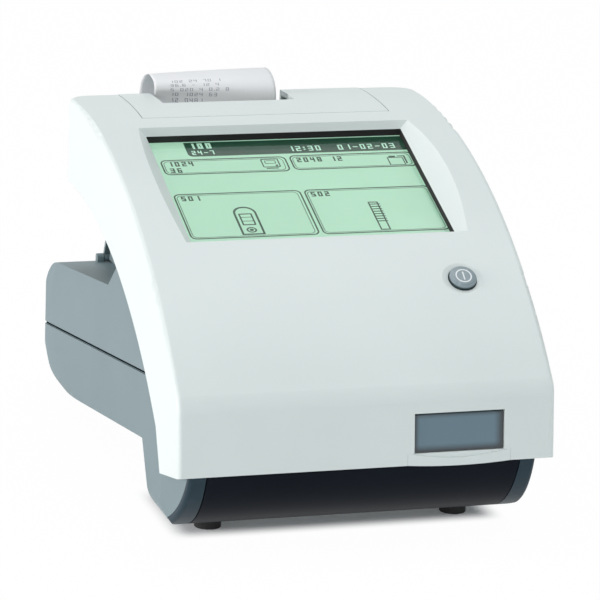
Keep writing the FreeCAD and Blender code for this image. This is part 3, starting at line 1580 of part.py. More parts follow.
def make_table_rack():
    """Rack along the table's left edge, with straight-sided teeth that point outwards."""
    right = table_left + rack_depth
    near = back(rack_start_from_front)
    far = back(rack_end_from_front)
    pitch = math.pi * drive_module
    root = drive_pitch_line() + drive_module * root_share
    half_width = (pitch / 2 - drive_backlash) / 2
    lean = drive_module * math.tan(math.radians(pressure_angle))
    root_half = half_width + lean * root_share
    tip_half = half_width - lean
    count = int((far - near) / pitch)
    start = back(pinion_from_front) + pitch / 2
    first = start - math.floor((start - near - root_half) / pitch) * pitch
    points = [Vector(right, near, 0), Vector(root, near, 0)]
    for index in range(count):
        y = first + index * pitch
        if y + root_half > far:
            break
        points += [Vector(root, y - root_half, 0), Vector(table_left, y - tip_half, 0),
                   Vector(table_left, y + tip_half, 0), Vector(root, y + root_half, 0)]
    points += [Vector(root, far, 0), Vector(right, far, 0)]
    face = Part.Face(Part.makePolygon(points + points[:1]))
    body = face.extrude(Vector(0, 0, rack_thickness))
    body.translate(Vector(0, 0, table_top - rack_thickness))
    return body


pinion_x = table_left + drive_module - drive_module * drive_teeth / 2
pinion_y = back(pinion_from_front)
pinion_bottom = chassis_floor + chassis_wall + sliding_gap


def make_drive_pinion():
    """Pinion that drives the table's rack, in one piece with its upright shaft."""
    shape = gear(drive_module, drive_teeth, drive_gear_width, 0, math.pi / 2, drive_backlash)
    shape.rotate(Vector(0, 0, 0), Vector(0, 1, 0), -math.degrees(math.pi / 2))
    shape.translate(Vector(pinion_x, pinion_y, pinion_bottom))
    return shape.fuse(drive_shaft_solid(0)).removeSplitter()



def drive_shaft_solid(gap):
    """Shaft of the drive pinion down into the table motor, grown by a gap."""
    return rod(drive_shaft_radius + gap, Vector(pinion_x, pinion_y, chassis_floor - drive_shaft_depth - gap),
               Vector(pinion_x, pinion_y, pinion_bottom + drive_gear_width / 2))


def make_table_motor():
    """Geared motor of the table, hung under the chassis."""
    can = rod(table_motor_radius, Vector(pinion_x, pinion_y, chassis_floor - table_motor_height),
              Vector(pinion_x, pinion_y, chassis_floor))
    return can.cut(drive_shaft_solid(running_gap))


def make_table_chassis():
    """Channel that the test table slides in, with side rails, hold-down lips and the motor's plate."""
    inner = table_width / 2 + chassis_side_gap
    outer = inner + chassis_wall
    near = back(chassis_from_front)
    far = near + chassis_length
    top = chassis_floor + chassis_rail_height
    floor = block(port_middle - outer, port_middle + outer, near, far, chassis_floor,
                  chassis_floor + chassis_wall)
    parts = [floor]
    lip_bottom = table_top + sliding_gap
    for side in (-1, 1):
        wall = sorted((port_middle + side * inner, port_middle + side * outer))
        lip = sorted((port_middle + side * (insert_width / 2 + chassis_wall / 2), port_middle + side * outer))
        parts.append(block(wall[0], wall[1], near, far, chassis_floor, top))
        parts.append(block(lip[0], lip[1], near, far, lip_bottom, top))
    plate_left = pinion_x - table_motor_radius - chassis_wall
    parts.append(block(plate_left, port_middle, pinion_y - table_motor_radius, pinion_y + table_motor_radius,
                       chassis_floor, chassis_floor + chassis_wall))
    shape = joined(parts)
    tip = drive_module * (drive_teeth / 2 + 1) + sliding_gap * 2
    window = rod(tip, Vector(pinion_x, pinion_y, chassis_floor + chassis_wall),
                 Vector(pinion_x, pinion_y, top + overrun))
    shape = shape.cut(window)
    shape = shape.cut(drive_shaft_solid(running_gap))
    return shape.removeSplitter()


optics_bottom = table_top + optics_clearance
optics_near = back(optics_from_front)
optics_middle_y = optics_near + optics_length / 2


def make_optics_housing():
    """Black housing of the read head, open below, on two arms that stand on the chassis."""
    half = optics_width / 2
    body = block(port_middle - half, port_middle + half, optics_near, optics_near + optics_length,
                 optics_bottom, optics_bottom + optics_height)
    hollow = block(port_middle - half + optics_wall, port_middle + half - optics_wall,
                   optics_near + optics_wall,
                   optics_near + optics_length - optics_wall, optics_bottom - overrun,
                   optics_bottom + optics_height - optics_wall)
    shape = body.cut(hollow)
    rail_top = chassis_floor + chassis_rail_height
    reach = table_width / 2 + chassis_side_gap + chassis_wall
    for side in (-1, 1):
        foot = sorted((port_middle + side * (half - optics_wall / 2), port_middle + side * reach))
        shape = shape.fuse(block(foot[0], foot[1], optics_middle_y + optics_wall * 2,
                                 optics_near + optics_length, rail_top, optics_bottom + optics_wall * 2))
    bore = rod(lens_radius, Vector(port_middle, optics_middle_y, optics_bottom + optics_height / 2),
               Vector(port_middle, optics_middle_y, optics_bottom + optics_height / 2 + lens_thickness))
    shelf = block(port_middle - half + optics_wall / 2, port_middle + half - optics_wall / 2,
                  optics_near + optics_wall / 2, optics_near + optics_length - optics_wall / 2,
                  optics_bottom + optics_height / 2, optics_bottom + optics_height / 2 + lens_thickness)
    return shape.fuse(shelf).cut(bore).removeSplitter()


def make_optics_lens():
    """Glass lens of the read head."""
    low = optics_bottom + optics_height / 2
    return rod(lens_radius, Vector(port_middle, optics_middle_y, low),
               Vector(port_middle, optics_middle_y, low + lens_thickness))


def make_optics_board():
    """Circuit board on top of the read head."""
    half = optics_width / 2
    low = optics_bottom + optics_height
    return block(port_middle - half, port_middle + half, optics_near, optics_near + optics_length,
                 low, low + optics_board_thickness)


def make_optics_lamps():
    """Coloured lamps under the shelf of the read head, one near each corner."""
    high = optics_bottom + optics_height / 2
    lamps = []
    for side in (-1, 1):
        for end in (-1, 1):
            x = port_middle + side * lamp_offset_x
            y = optics_middle_y + end * lamp_offset_y
            lamps.append(rod(led_radius, Vector(x, y, high - led_height), Vector(x, y, high)))
    return Part.makeCompound(lamps)


board_near = back(board_from_front)
board_top = board_height + board_thickness


def make_main_board():
    """Main circuit board on four posts."""
    board = block(board_left, board_right, board_near, board_near + board_length, board_height, board_top)
    for x, y in standoff_places():
        board = board.cut(rod(screw_radius + seat_gap, Vector(x, y, 0), Vector(x, y, cover_height)))
    return board


board_middle_x = (board_left + board_right) / 2
board_middle_y = board_near + board_length / 2
display_cable_y = board_middle_y
printer_cable_y = back(printer_cable_from_front)


def make_board_chips():
    """Processor and memory chips on the main board."""
    near = board_near + chip_from_edge
    chips = [block(board_middle_x - chip_size / 2, board_middle_x + chip_size / 2, near, near + chip_size,
                   board_top, board_top + chip_thickness)]
    for column in range(small_chip_count):
        left = board_left + board_inset * 2 + column * (small_chip_size + board_inset)
        near = board_near + board_length - small_chip_from_edge - small_chip_size
        chips.append(block(left, left + small_chip_size, near, near + small_chip_size, board_top,
                           board_top + chip_thickness / 2))
    return Part.makeCompound(chips)


def make_board_headers():
    """Plugs on the main board for the flat cables of the display and the printer."""
    plugs = []
    for x, y in ((display_cable_x, display_cable_y), (printer_cable_x, printer_cable_y)):
        plugs.append(block(x - header_length / 2, x + header_length / 2, y - header_width / 2,
                           y + header_width / 2,
                           board_top, board_top + header_height))
    return Part.makeCompound(plugs)


def screen_depth_z(depth, y):
    """Height at a place along Y of the plane that lies a depth behind the screen's rim."""
    tilt = math.radians(screen_tilt)
    along = (y - back(screen_from_front) - depth * math.sin(tilt)) / math.cos(tilt)
    return screen_centre_height + along * math.sin(tilt) - depth * math.cos(tilt)


def make_display_cable():
    """Flat cable from the display's back down to the main board."""
    near = display_cable_y - cable_thickness / 2
    return block(display_cable_x - cable_width / 2, display_cable_x + cable_width / 2, near,
                 near + cable_thickness,
                 board_top + header_height, screen_depth_z(display_back, near))


def make_printer_cable():
    """Flat cable from the printer's bar forward and down through the tower's floor to the main board."""
    left = printer_cable_x - cable_width / 2
    right = printer_cable_x + cable_width / 2
    level = printer_bottom_height + cable_thickness
    down = block(left, right, bar_near - cable_thickness, bar_near, level - cable_thickness,
                 print_line_height)
    along = block(left, right, printer_cable_y, bar_near, level - cable_thickness, level)
    drop = block(left, right, printer_cable_y, printer_cable_y + cable_thickness,
                 board_top + header_height, level)
    return joined([down, along, drop])


rear_board_y = rear_board_front()
rear_board_far = rear_panel_y - cover_wall
socket_face = rear_panel_y


def make_socket_board():
    """Circuit board behind the rear sockets."""
    board = block(panel_left + seat_gap * 2, panel_right - seat_gap * 2, rear_board_y, rear_board_far,
                  connector_height - board_thickness, connector_height)
    for x, y in rear_board_posts():
        board = board.cut(rod(screw_radius + seat_gap, Vector(x, y, 0), Vector(x, y, cover_height)))
    return board


def make_power_inlet():
    """Round low-voltage power socket with its centre pin."""
    half = inlet_radius + cable_thickness
    z = connector_height + half
    body = block(inlet_x - half, inlet_x + half, rear_board_far - inlet_length, rear_board_far - seat_gap,
                 connector_height, connector_height + half * 2)
    snout = rod(inlet_radius, Vector(inlet_x, rear_board_far - overrun, z), Vector(inlet_x, socket_face, z))
    hole = rod(inlet_hole_radius, Vector(inlet_x, rear_board_far - inlet_length / 2, z),
               Vector(inlet_x, socket_face + overrun, z))
    pin = rod(inlet_pin_radius, Vector(inlet_x, socket_face - inlet_pin_radius - inlet_pin_length, z),
              Vector(inlet_x, socket_face - inlet_pin_radius, z))
    return body.fuse(snout).cut(hole).fuse(pin).removeSplitter()


def make_serial_port():
    """Serial socket with its metal shell and a nut at each side."""
    z = connector_height + serial_height / 2
    far = rear_board_far - seat_gap
    body = block(serial_x - serial_width / 2, serial_x + serial_width / 2, far - serial_depth, far,
                 connector_height, connector_height + serial_height)
    half = serial_shell_width / 2
    tall = serial_shell_height / 2
    outer = rounded_y(serial_x, z, half, tall, far - seat_gap, socket_face + serial_shell_reach)
    wall = contact_thickness
    inner = rounded_y(serial_x, z, half - wall, tall - wall, far, socket_face + serial_shell_reach + overrun)
    shape = body.fuse(outer.cut(inner))
    for side in (-1, 1):
        x = serial_x + side * (serial_width / 2 - screw_head_radius)
        shape = shape.fuse(rod(serial_nut_radius, Vector(x, far - seat_gap, z),
                               Vector(x, socket_face + serial_shell_reach / 2, z)))
    return shape.removeSplitter()


def rounded_y(x, z, half_width, half_height, near, far):
    """Bar along Y with a rounded rectangle as its section."""
    bar = block(x - half_width, x + half_width, near, far, z - half_height, z + half_height)
    along = [edge for edge in bar.Edges if abs(edge.tangentAt(edge.FirstParameter).y) > direction_limit]
    return bar.makeFillet(serial_corner / 2, along)


def make_card_slot():
    """Metal cage of the memory card slot."""
    far = rear_board_far - seat_gap
    cage = block(card_x - card_width / 2, card_x + card_width / 2, far - card_depth, far,
                 connector_height, connector_height + card_height)
    mouth = block(card_x - card_width / 2 + board_thickness, card_x + card_width / 2 - board_thickness,
                  far - card_depth + board_thickness, far + overrun, connector_height + card_mouth_wall,
                  connector_height + card_height - card_mouth_wall)
    return cage.cut(mouth)


def make_rear_panel():
    """Recessed panel in the back of the housing, with a hole for each socket."""
    whole = extrude_x(upper_edges(0), -housing_half_width, housing_half_width)
    whole = whole.fuse(extrude_x(lower_edges(0, 0), -housing_half_width, housing_half_width))
    tray = whole.common(rear_rounding(0)).common(rear_panel_cut(-seat_gap))
    tray = tray.cut(block(-cover_width, cover_width, front_edge, rear_panel_y - board_thickness, 0,
                          cover_height))
    rim = panel_rim
    tray = tray.cut(block(panel_left + rim, panel_right - rim, rear_panel_y, back(overall_depth) + overrun,
                          panel_low + rim, panel_high - rim))
    half = inlet_radius + cable_thickness
    tray = tray.cut(rod(inlet_radius + seat_gap, Vector(inlet_x, back(0), connector_height + half),
                        Vector(inlet_x, back(overall_depth), connector_height + half)))
    z = connector_height + serial_height / 2
    tray = tray.cut(rounded_y(serial_x, z, serial_shell_width / 2 + seat_gap,
                              serial_shell_height / 2 + seat_gap,
                              back(0), back(overall_depth)))
    for side in (-1, 1):
        x = serial_x + side * (serial_width / 2 - screw_head_radius)
        tray = tray.cut(rod(serial_nut_radius + seat_gap, Vector(x, back(0), z),
                            Vector(x, back(overall_depth), z)))
    tray = tray.cut(block(card_x - card_width / 2, card_x + card_width / 2, back(0), back(overall_depth),
                          connector_height, connector_height + card_height))
    return tray.removeSplitter()


def make_board_screws():
    """Screws that hold the main board and the socket board to their posts."""
    down = Vector(0, 0, -1)
    screws = [screw(Vector(x, y, board_top), down, screw_length - board_thickness) for x,
              y in standoff_places()]
    screws += [screw(Vector(x, y, connector_height), down, rear_screw_length)
               for x, y in rear_board_posts()]
    return Part.makeCompound(screws)


nodes = {
    "front_cover": make_front_cover,
    "port_lip": make_port_lip,
    "port_flap": make_port_flap,
    "printer_cover": make_printer_cover,
    "upper_housing": make_upper_housing,
    "lower_housing": make_lower_housing,
    "rear_panel": make_rear_panel,
    "base_skirt": make_base_skirt,
    "base_front_panel": make_base_front_panel,
    "front_feet": make_front_feet,
    "rear_feet": make_rear_feet,
    "paper_cover": make_paper_cover,
    "paper_roll": make_paper_roll,
    "paper_core": make_paper_core,
    "paper_strip": make_paper_strip,
    "paper_arm": make_paper_arm,
    "platen_roller": make_platen_roller,
    "platen_shaft": lambda: platen_shaft_solid(0),
    "platen_gear": make_platen_gear,
    "idler_gear": make_idler_gear,
    "motor_gear": make_motor_gear,
    "printer_motor": make_printer_motor,
    "printer_frame": make_printer_frame,
    "thermal_head": make_thermal_head,
    "head_springs": make_head_springs,
    "screen_gasket": make_screen_gasket,
    "touch_panel": make_touch_panel,
    "display_module": make_display_module,
    "display_bracket": make_display_bracket,
    "display_screws": make_display_screws,
    "power_button": make_power_button,
    "switch_plunger": make_switch_plunger,
    "power_switch": make_power_switch,
    "button_board": make_button_board,
    "test_table": make_test_table,
    "table_insert": make_table_insert,
    "calibration_bar": make_calibration_bar,
    "table_rack": make_table_rack,
    "drive_pinion": make_drive_pinion,
    "table_motor": make_table_motor,
    "table_chassis": make_table_chassis,
    "optics_housing": make_optics_housing,
    "optics_lens": make_optics_lens,
    "optics_board": make_optics_board,
    "optics_lamps": make_optics_lamps,
    "main_board": make_main_board,
    "board_chips": make_board_chips,
    "board_headers": make_board_headers,
    "display_cable": make_display_cable,
    "printer_cable": make_printer_cable,
    "socket_board": make_socket_board,
    "power_inlet": make_power_inlet,
    "serial_port": make_serial_port,
    "card_slot": make_card_slot,
    "board_screws": make_board_screws,
    "cover_screws": make_cover_screws,
    "battery_door": make_battery_door,
    "batteries": make_batteries,
    "battery_contacts": make_battery_contacts,
}

os.makedirs("parts", exist_ok=True)
for name, make in nodes.items():
    shape = make()
    shape.exportStep(os.path.join("parts", name + ".step"))
    print(name, len(shape.Solids), "solid(s)", round(shape.Volume, 1), "mm3")
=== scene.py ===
import math

import bpy
import numpy as np
from mathutils import Matrix, Vector


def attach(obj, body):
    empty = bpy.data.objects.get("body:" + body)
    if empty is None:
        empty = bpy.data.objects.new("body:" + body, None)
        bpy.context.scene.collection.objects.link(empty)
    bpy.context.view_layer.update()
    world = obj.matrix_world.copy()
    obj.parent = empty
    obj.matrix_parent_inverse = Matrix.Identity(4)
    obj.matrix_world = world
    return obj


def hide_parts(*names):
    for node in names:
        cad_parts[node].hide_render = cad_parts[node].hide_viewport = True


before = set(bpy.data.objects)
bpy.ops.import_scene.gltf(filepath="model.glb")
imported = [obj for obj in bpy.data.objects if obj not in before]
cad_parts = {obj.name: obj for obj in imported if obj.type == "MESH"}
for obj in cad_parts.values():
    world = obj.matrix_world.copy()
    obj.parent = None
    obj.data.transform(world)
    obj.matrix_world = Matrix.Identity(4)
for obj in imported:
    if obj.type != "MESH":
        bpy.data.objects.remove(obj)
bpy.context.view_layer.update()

# Camera: a little left of the reader and above it, seen from 1.7 m away through a long lens.
# Its place, angles and lens were found by fitting the reader's outline and the corners of its screen.
camera_azimuth = math.radians(-17.28)
camera_elevation = math.radians(15.44)
camera_roll = math.radians(2.15)
camera_place = (-0.4848, -1.5851, 0.5355)
camera_lens_mm = 222.96

toward_camera = np.array([math.sin(camera_azimuth) * math.cos(camera_elevation),
                          -math.cos(camera_azimuth) * math.cos(camera_elevation),
                          math.sin(camera_elevation)])
level_right = np.array([math.cos(camera_azimuth), math.sin(camera_azimuth), 0.0])
level_up = np.cross(toward_camera, level_right)
rolled_right = math.cos(camera_roll) * level_right + math.sin(camera_roll) * level_up
rolled_up = -math.sin(camera_roll) * level_right + math.cos(camera_roll) * level_up

camera_data = bpy.data.cameras.new("photo_camera")
camera_data.lens = camera_lens_mm
camera_data.clip_end = 50.0
camera = bpy.data.objects.new("photo_camera", camera_data)
bpy.context.collection.objects.link(camera)
camera_turn = Matrix(np.column_stack([rolled_right, rolled_up, toward_camera]).tolist()).to_4x4()
camera.matrix_world = Matrix.Translation(Vector(camera_place)) @ camera_turn
bpy.context.scene.camera = camera


# Studio: a pale sweep under the reader that shows white behind it and keeps the soft shadow of the base.
# A strong lamp stands low on the left, weaker ones in front and on the right, and a broad one hangs above.
# Mirroring and clear surfaces see the same white background as the camera does.
sweep_colour = (0.93, 0.94, 0.95)
sweep_white = 0.98
sweep_half_width = 6.0
sweep_near = -5.0
sweep_wall_from = 3.0
sweep_radius = 1.5
sweep_height = 6.0
shadow_white = 0.05
shadow_half_width = 0.066
shadow_side_fade = 0.013
shadow_front = -0.090
shadow_front_fade = 0.014
shadow_rear = -0.050
shadow_rear_fade = 0.020
lamp_aim = (0, 0, 0.08)
high_lamp_aim = (0, 0, 0.1)
air_colour = (0.95, 0.98, 0.98)
air_strength = 0.42


def feed(tree, socket, value):
    """Links an input to another node's output, or sets it to a plain value."""
    if isinstance(value, bpy.types.NodeSocket):
        tree.links.new(value, socket)
    else:
        socket.default_value = value


def add_node(tree, kind, inputs=None, **settings):
    """Adds a shader node of a kind, with its settings first and then its inputs, by name or by number."""
    node = tree.nodes.new("ShaderNode" + kind)
    for name, value in settings.items():
        setattr(node, name, value)
    for name, value in (inputs or {}).items():
        feed(tree, node.inputs[name], value)
    return node


def worked_out(tree, operation, *terms):
    """Result of a Math node on its terms."""
    return add_node(tree, "Math", dict(enumerate(terms)), operation=operation).outputs[0]


def product(tree, terms):
    """Product of several terms, by one Math node for each term after the first."""
    total = terms[0]
    for term in terms[1:]:
        total = worked_out(tree, "MULTIPLY", total, term)
    return total


def ranged(tree, value, low, high):
    """Number between low and high, as the value goes from 0 to 1."""
    return add_node(tree, "MapRange", {"Value": value, "To Min": low, "To Max": high}).outputs["Result"]


def faded(tree, value, start, end):
    """Smooth share of the way from start to end: 3 s^2 - 2 s^3, where s goes from 0 to 1 between them."""
    return add_node(tree, "MapRange", {"Value": value, "From Min": start, "From Max": end},
                    interpolation_type="SMOOTHSTEP").outputs["Result"]


def object_place(tree):
    """Place on the piece in metres, in the reader's own frame."""
    return add_node(tree, "TexCoord").outputs["Object"]


def background_ray(tree):
    """Whether a ray shows the background: the largest of Is Camera, Is Glossy and Is Transmission Ray."""
    path = add_node(tree, "LightPath")
    share = path.outputs["Is Camera Ray"]
    for kind in ("Is Glossy Ray", "Is Transmission Ray"):
        share = worked_out(tree, "MAXIMUM", share, path.outputs[kind])
    return share


def studio_surface(name, colour):
    """Sweep: its own shaded colour, mixed with plain white where it is background, save under the base."""
    material = bpy.data.materials.new(name)
    material.use_nodes = True
    tree = material.node_tree
    tree.nodes.clear()
    place = add_node(tree, "SeparateXYZ", {0: object_place(tree)})
    aside = worked_out(tree, "ABSOLUTE", place.outputs["X"])
    shadow = product(tree, [faded(tree, aside, shadow_half_width + shadow_side_fade, shadow_half_width),
                            faded(tree, place.outputs["Y"], shadow_front - shadow_front_fade, shadow_front),
                            faded(tree, place.outputs["Y"], shadow_rear + shadow_rear_fade, shadow_rear)])
    whiteness = ranged(tree, shadow, sweep_white, shadow_white)
    shade = add_node(tree, "BsdfDiffuse", {"Color": (*colour, 1)})
    white = add_node(tree, "Emission", {"Strength": 1.0})
    mix = add_node(tree, "MixShader", {0: worked_out(tree, "MULTIPLY", background_ray(tree), whiteness),
                                       1: shade.outputs[0], 2: white.outputs[0]})
    add_node(tree, "OutputMaterial", {"Surface": mix.outputs[0]})
    return material


def new_piece(name, points, faces, smooth):
    """Object at the origin whose mesh has these points and faces."""
    mesh = bpy.data.meshes.new(name)
    mesh.from_pydata(points.tolist(), [], faces)
    mesh.polygons.foreach_set("use_smooth", [smooth] * len(mesh.polygons))
    piece = bpy.data.objects.new(name, mesh)
    bpy.context.collection.objects.link(piece)
    return piece


def sweep_sheet(name):
    """Floor that turns up into a wall: flat along y, then z = radius (1 - cos a) over a quarter turn."""
    bend = np.linspace(0, math.pi / 2, 24)
    wall = sweep_wall_from + sweep_radius
    y = np.concatenate([[sweep_near], sweep_wall_from + sweep_radius * np.sin(bend), [wall]])
    z = np.concatenate([[0.0], sweep_radius * (1 - np.cos(bend)), [sweep_height]])
    count = len(y)
    sides = np.repeat([-sweep_half_width, sweep_half_width], count)
    points = np.stack([sides, np.tile(y, 2), np.tile(z, 2)], -1)
    faces = [(i, i + count, i + count + 1, i + 1) for i in range(count - 1)]
    return new_piece(name, points, faces, smooth=True)


sweep = sweep_sheet("studio_sweep")
sweep.data.materials.append(studio_surface("studio_white", sweep_colour))


def studio_lamp(name, place, aim, size, power, tint=(1.0, 1.0, 1.0)):
    """Rectangular lamp at a place, turned towards a point."""
    data = bpy.data.lights.new(name, "AREA")
    data.shape = "RECTANGLE"
    data.size, data.size_y = size
    data.energy = power
    data.color = tint
    lamp = bpy.data.objects.new(name, data)
    bpy.context.collection.objects.link(lamp)
    toward = (Vector(aim) - Vector(place)).to_track_quat("-Z", "Y")
    lamp.matrix_world = Matrix.Translation(place) @ toward.to_matrix().to_4x4()


studio_lamp("lamp_left", (-2.2, -0.05, 0.5), lamp_aim, (1.2, 0.9), 34.5, (1.0, 0.93, 0.925))
studio_lamp("lamp_front", (-0.1, -2.4, 0.8), lamp_aim, (1.8, 1.0), 9.9)
studio_lamp("lamp_right", (2.0, -0.9, 1.3), high_lamp_aim, (1.4, 1.2), 3.5)
studio_lamp("lamp_top", (0.1, 0.2, 2.1), high_lamp_aim, (1.8, 1.4), 17.6)

world = bpy.data.worlds.new("studio_air")
bpy.context.scene.world = world
world.use_nodes = True
air = world.node_tree
air_light = air.nodes["Background"]
air_light.inputs["Color"].default_value = (*air_colour, 1)
air_light.inputs["Strength"].default_value = air_strength
air_pale = add_node(air, "Background", {"Strength": 1.0})
air_mix = add_node(air, "MixShader", {0: background_ray(air), 1: air_light.outputs[0],
                                      2: air_pale.outputs[0]})
feed(air, air.nodes["World Output"].inputs["Surface"], air_mix.outputs[0])

bpy.context.scene.view_settings.view_transform = "Standard"


# White cover: one arched moulding of ABS with a very fine spark texture and a satin sheen.
# It carries the screen and the button, and its edges are rounded over by the tool.
drift_scale = 18.0
spark_scale = 1900.0
spark_rise = 0.0002
edge_from = 0.53
edge_to = 0.62


def finish_parts(material):
    """A material's node tree and its main shader."""
    return material.node_tree, material.node_tree.nodes["Principled BSDF"]


def new_finish(name):
    """New material with its node tree and its main shader."""
    material = bpy.data.materials.new(name)
    material.use_nodes = True
    return material, *finish_parts(material)


def tinted(tree, value, low, high, ends=(0.0, 1.0)):
    """Colour ramp: from a low to a high colour as the value goes from one end to the other."""
    ramp = add_node(tree, "ValToRGB", {"Fac": value})
    for element, place, colour in zip(ramp.color_ramp.elements, ends, (low, high)):
        element.position = place
        element.color = (*colour, 1)
    return ramp.outputs["Color"]


def mixed(tree, share, first, second):
    """Colour between the first and the second, by a share; each is a colour or an output."""
    mix = add_node(tree, "Mix", {"Factor": share, "A": first, "B": second}, data_type="RGBA")
    return mix.outputs["Result"]


def scaled(colour, factor, rise=0.0):
    """Colour with its channels multiplied and raised, none past white."""
    return tuple(min(1.0, channel * factor + rise) for channel in colour)


def lifted(tree, skin, height, strength, distance):
    """Bump: the surface's normal is turned as if the surface rose by the height times the distance."""
    bump = add_node(tree, "Bump", {"Height": height, "Strength": strength, "Distance": distance})
    feed(tree, skin.inputs["Normal"], bump.outputs["Normal"])


def moulded_plastic(name, colour, roughness, spark, mottle=0.03, sheen_spread=0.08, wear=0.0):
    """Moulded plastic: a large noise drifts its colour, a fine one lifts its skin, its edges rub paler."""
    material, tree, skin = new_finish(name)
    skin.inputs["IOR"].default_value = 1.5
    place = object_place(tree)
    drift_noise = add_node(tree, "TexNoise", {"Vector": place, "Scale": drift_scale, "Detail": 3.0})
    drift = drift_noise.outputs["Fac"]
    shade = tinted(tree, drift, scaled(colour, 1 - mottle), scaled(colour, 1 + mottle), ends=(0.35, 0.65))
    if wear > 0:
        edge = add_node(tree, "NewGeometry").outputs["Pointiness"]
        rubbed = add_node(tree, "MapRange", {"Value": edge, "From Min": edge_from, "From Max": edge_to,
                                             "To Max": wear})
        shade = mixed(tree, rubbed.outputs["Result"], shade, (*scaled(colour, 1.5, 0.04), 1))
    feed(tree, skin.inputs["Base Color"], shade)
    feed(tree, skin.inputs["Roughness"],
         ranged(tree, drift, roughness - sheen_spread / 2, roughness + sheen_spread / 2))
    grain = add_node(tree, "TexNoise", {"Vector": place, "Scale": spark_scale, "Detail": 2.0})
    lifted(tree, skin, grain.outputs["Fac"], spark, spark_rise)
    return material


def dress(node, material):
    """Gives a CAD node its finish."""
    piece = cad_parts[node]
    if not piece.material_slots:
        piece.data.materials.append(material)
    for place in piece.material_slots:
        place.link = "OBJECT"
        place.material = material


cover_white = moulded_plastic("cover_white", (0.685, 0.755, 0.75), 0.42, 0.10, mottle=0.012)
for node in ("front_cover", "port_lip", "printer_cover"):
    dress(node, cover_white)


# Grey housing: two mouldings that meet along a sloping seam, with the paper cover hinged at the back.
# The plastic is bluish grey, a little coarser than the white cover, and the seam's groove has painted
# shade.
parting_slope = math.radians(9.1)
parting_point = np.array([0.0, 0.0261, 0.0508])
parting_up = np.array([0.0, math.sin(parting_slope), math.cos(parting_slope)])
# The seam's groove band gets painted shade: a dark colour and no reflection.
groove_half = 0.00050
groove_painted_shade = (0.002, 0.008, 0.011)
housing_mirror = 0.25


def along_axis(tree, axis):
    """Distance of a place from the origin along an axis, as the dot product of the two."""
    terms = {0: object_place(tree), 1: axis.tolist()}
    return add_node(tree, "VectorMath", terms, operation="DOT_PRODUCT").outputs["Value"]


def plastic_with_painted_groove(name, colour, roughness, spark, mottle, wear):
    """Moulded plastic with painted shade: dark and dull where a place is within half the groove of the
    seam's plane.
    """
    material = moulded_plastic(name, colour, roughness, spark, mottle=mottle, wear=wear)
    tree, skin = finish_parts(material)
    off_seam = worked_out(tree, "SUBTRACT", along_axis(tree, parting_up), float(parting_point @ parting_up))
    # Painted shade: inside the groove's band the colour goes dark and the reflection goes to nothing.
    in_painted_groove = worked_out(tree, "LESS_THAN", worked_out(tree, "ABSOLUTE", off_seam), groove_half)
    plain = skin.inputs["Base Color"].links[0].from_socket
    feed(tree, skin.inputs["Base Color"], mixed(tree, in_painted_groove, plain, (*groove_painted_shade, 1)))
    skin.inputs["Specular IOR Level"].default_value = housing_mirror
    feed(tree, skin.inputs["Specular IOR Level"], ranged(tree, in_painted_groove, housing_mirror, 0.0))
    return material


housing_grey = plastic_with_painted_groove("housing_grey", (0.178, 0.243, 0.262), 0.50, 0.22, 0.03, 0.12)
for node in ("upper_housing", "lower_housing", "rear_panel", "paper_cover", "battery_door"):
    dress(node, housing_grey)


# Base: a charcoal moulding wraps the two front corners, and a near-black panel fills the front between.
# Both have a satin finish and show a thin seam where they meet, and rubber feet are pressed in below.
skirt_charcoal = moulded_plastic("skirt_charcoal", (0.022, 0.043, 0.058), 0.42, 0.15,
                                 mottle=0.06, wear=0.15)
front_black = moulded_plastic("front_black", (0.0075, 0.0105, 0.0160), 0.40, 0.12, mottle=0.08)
for dark, mirror in ((skirt_charcoal, 0.12), (front_black, 0.03)):
    finish_parts(dark)[1].inputs["Specular IOR Level"].default_value = mirror
dress("base_skirt", skirt_charcoal)
dress("base_front_panel", front_black)
foot_rubber = moulded_plastic("foot_rubber", (0.012, 0.012, 0.013), 0.78, 0.5, mottle=0.15)
for node in ("front_feet", "rear_feet", "screen_gasket", "platen_roller"):
    dress(node, foot_rubber)


# Screen: a sheet of glass in a black rubber gasket, set into the slope of the white cover.
# The picture shows through the glass from the display module just under it.
# The picture's glow is partly painted light, for the lamp light that the glass keeps off the module.
screen_centre = np.array([0.0, -0.02035, 0.1364])
screen_tilt = math.radians(19.3)
screen_right = np.array([1.0, 0.0, 0.0])
screen_up = np.array([0.0, math.cos(screen_tilt), math.sin(screen_tilt)])
screen_out = np.cross(screen_right, screen_up)
picture_depth = 0.0046


def clear_plastic(name, colour, roughness, smudge=0.02):
    """Clear moulding or glass: light goes through, and a broad noise varies how sharply it mirrors."""
    material, tree, skin = new_finish(name)
    skin.inputs["Base Color"].default_value = (*colour, 1)
    skin.inputs["Transmission Weight"].default_value = 1.0
    skin.inputs["IOR"].default_value = 1.49
    film = add_node(tree, "TexNoise", {"Vector": object_place(tree), "Scale": 35.0, "Detail": 4.0})
    feed(tree, skin.inputs["Roughness"], ranged(tree, film.outputs["Fac"], roughness, roughness + smudge))
    return material


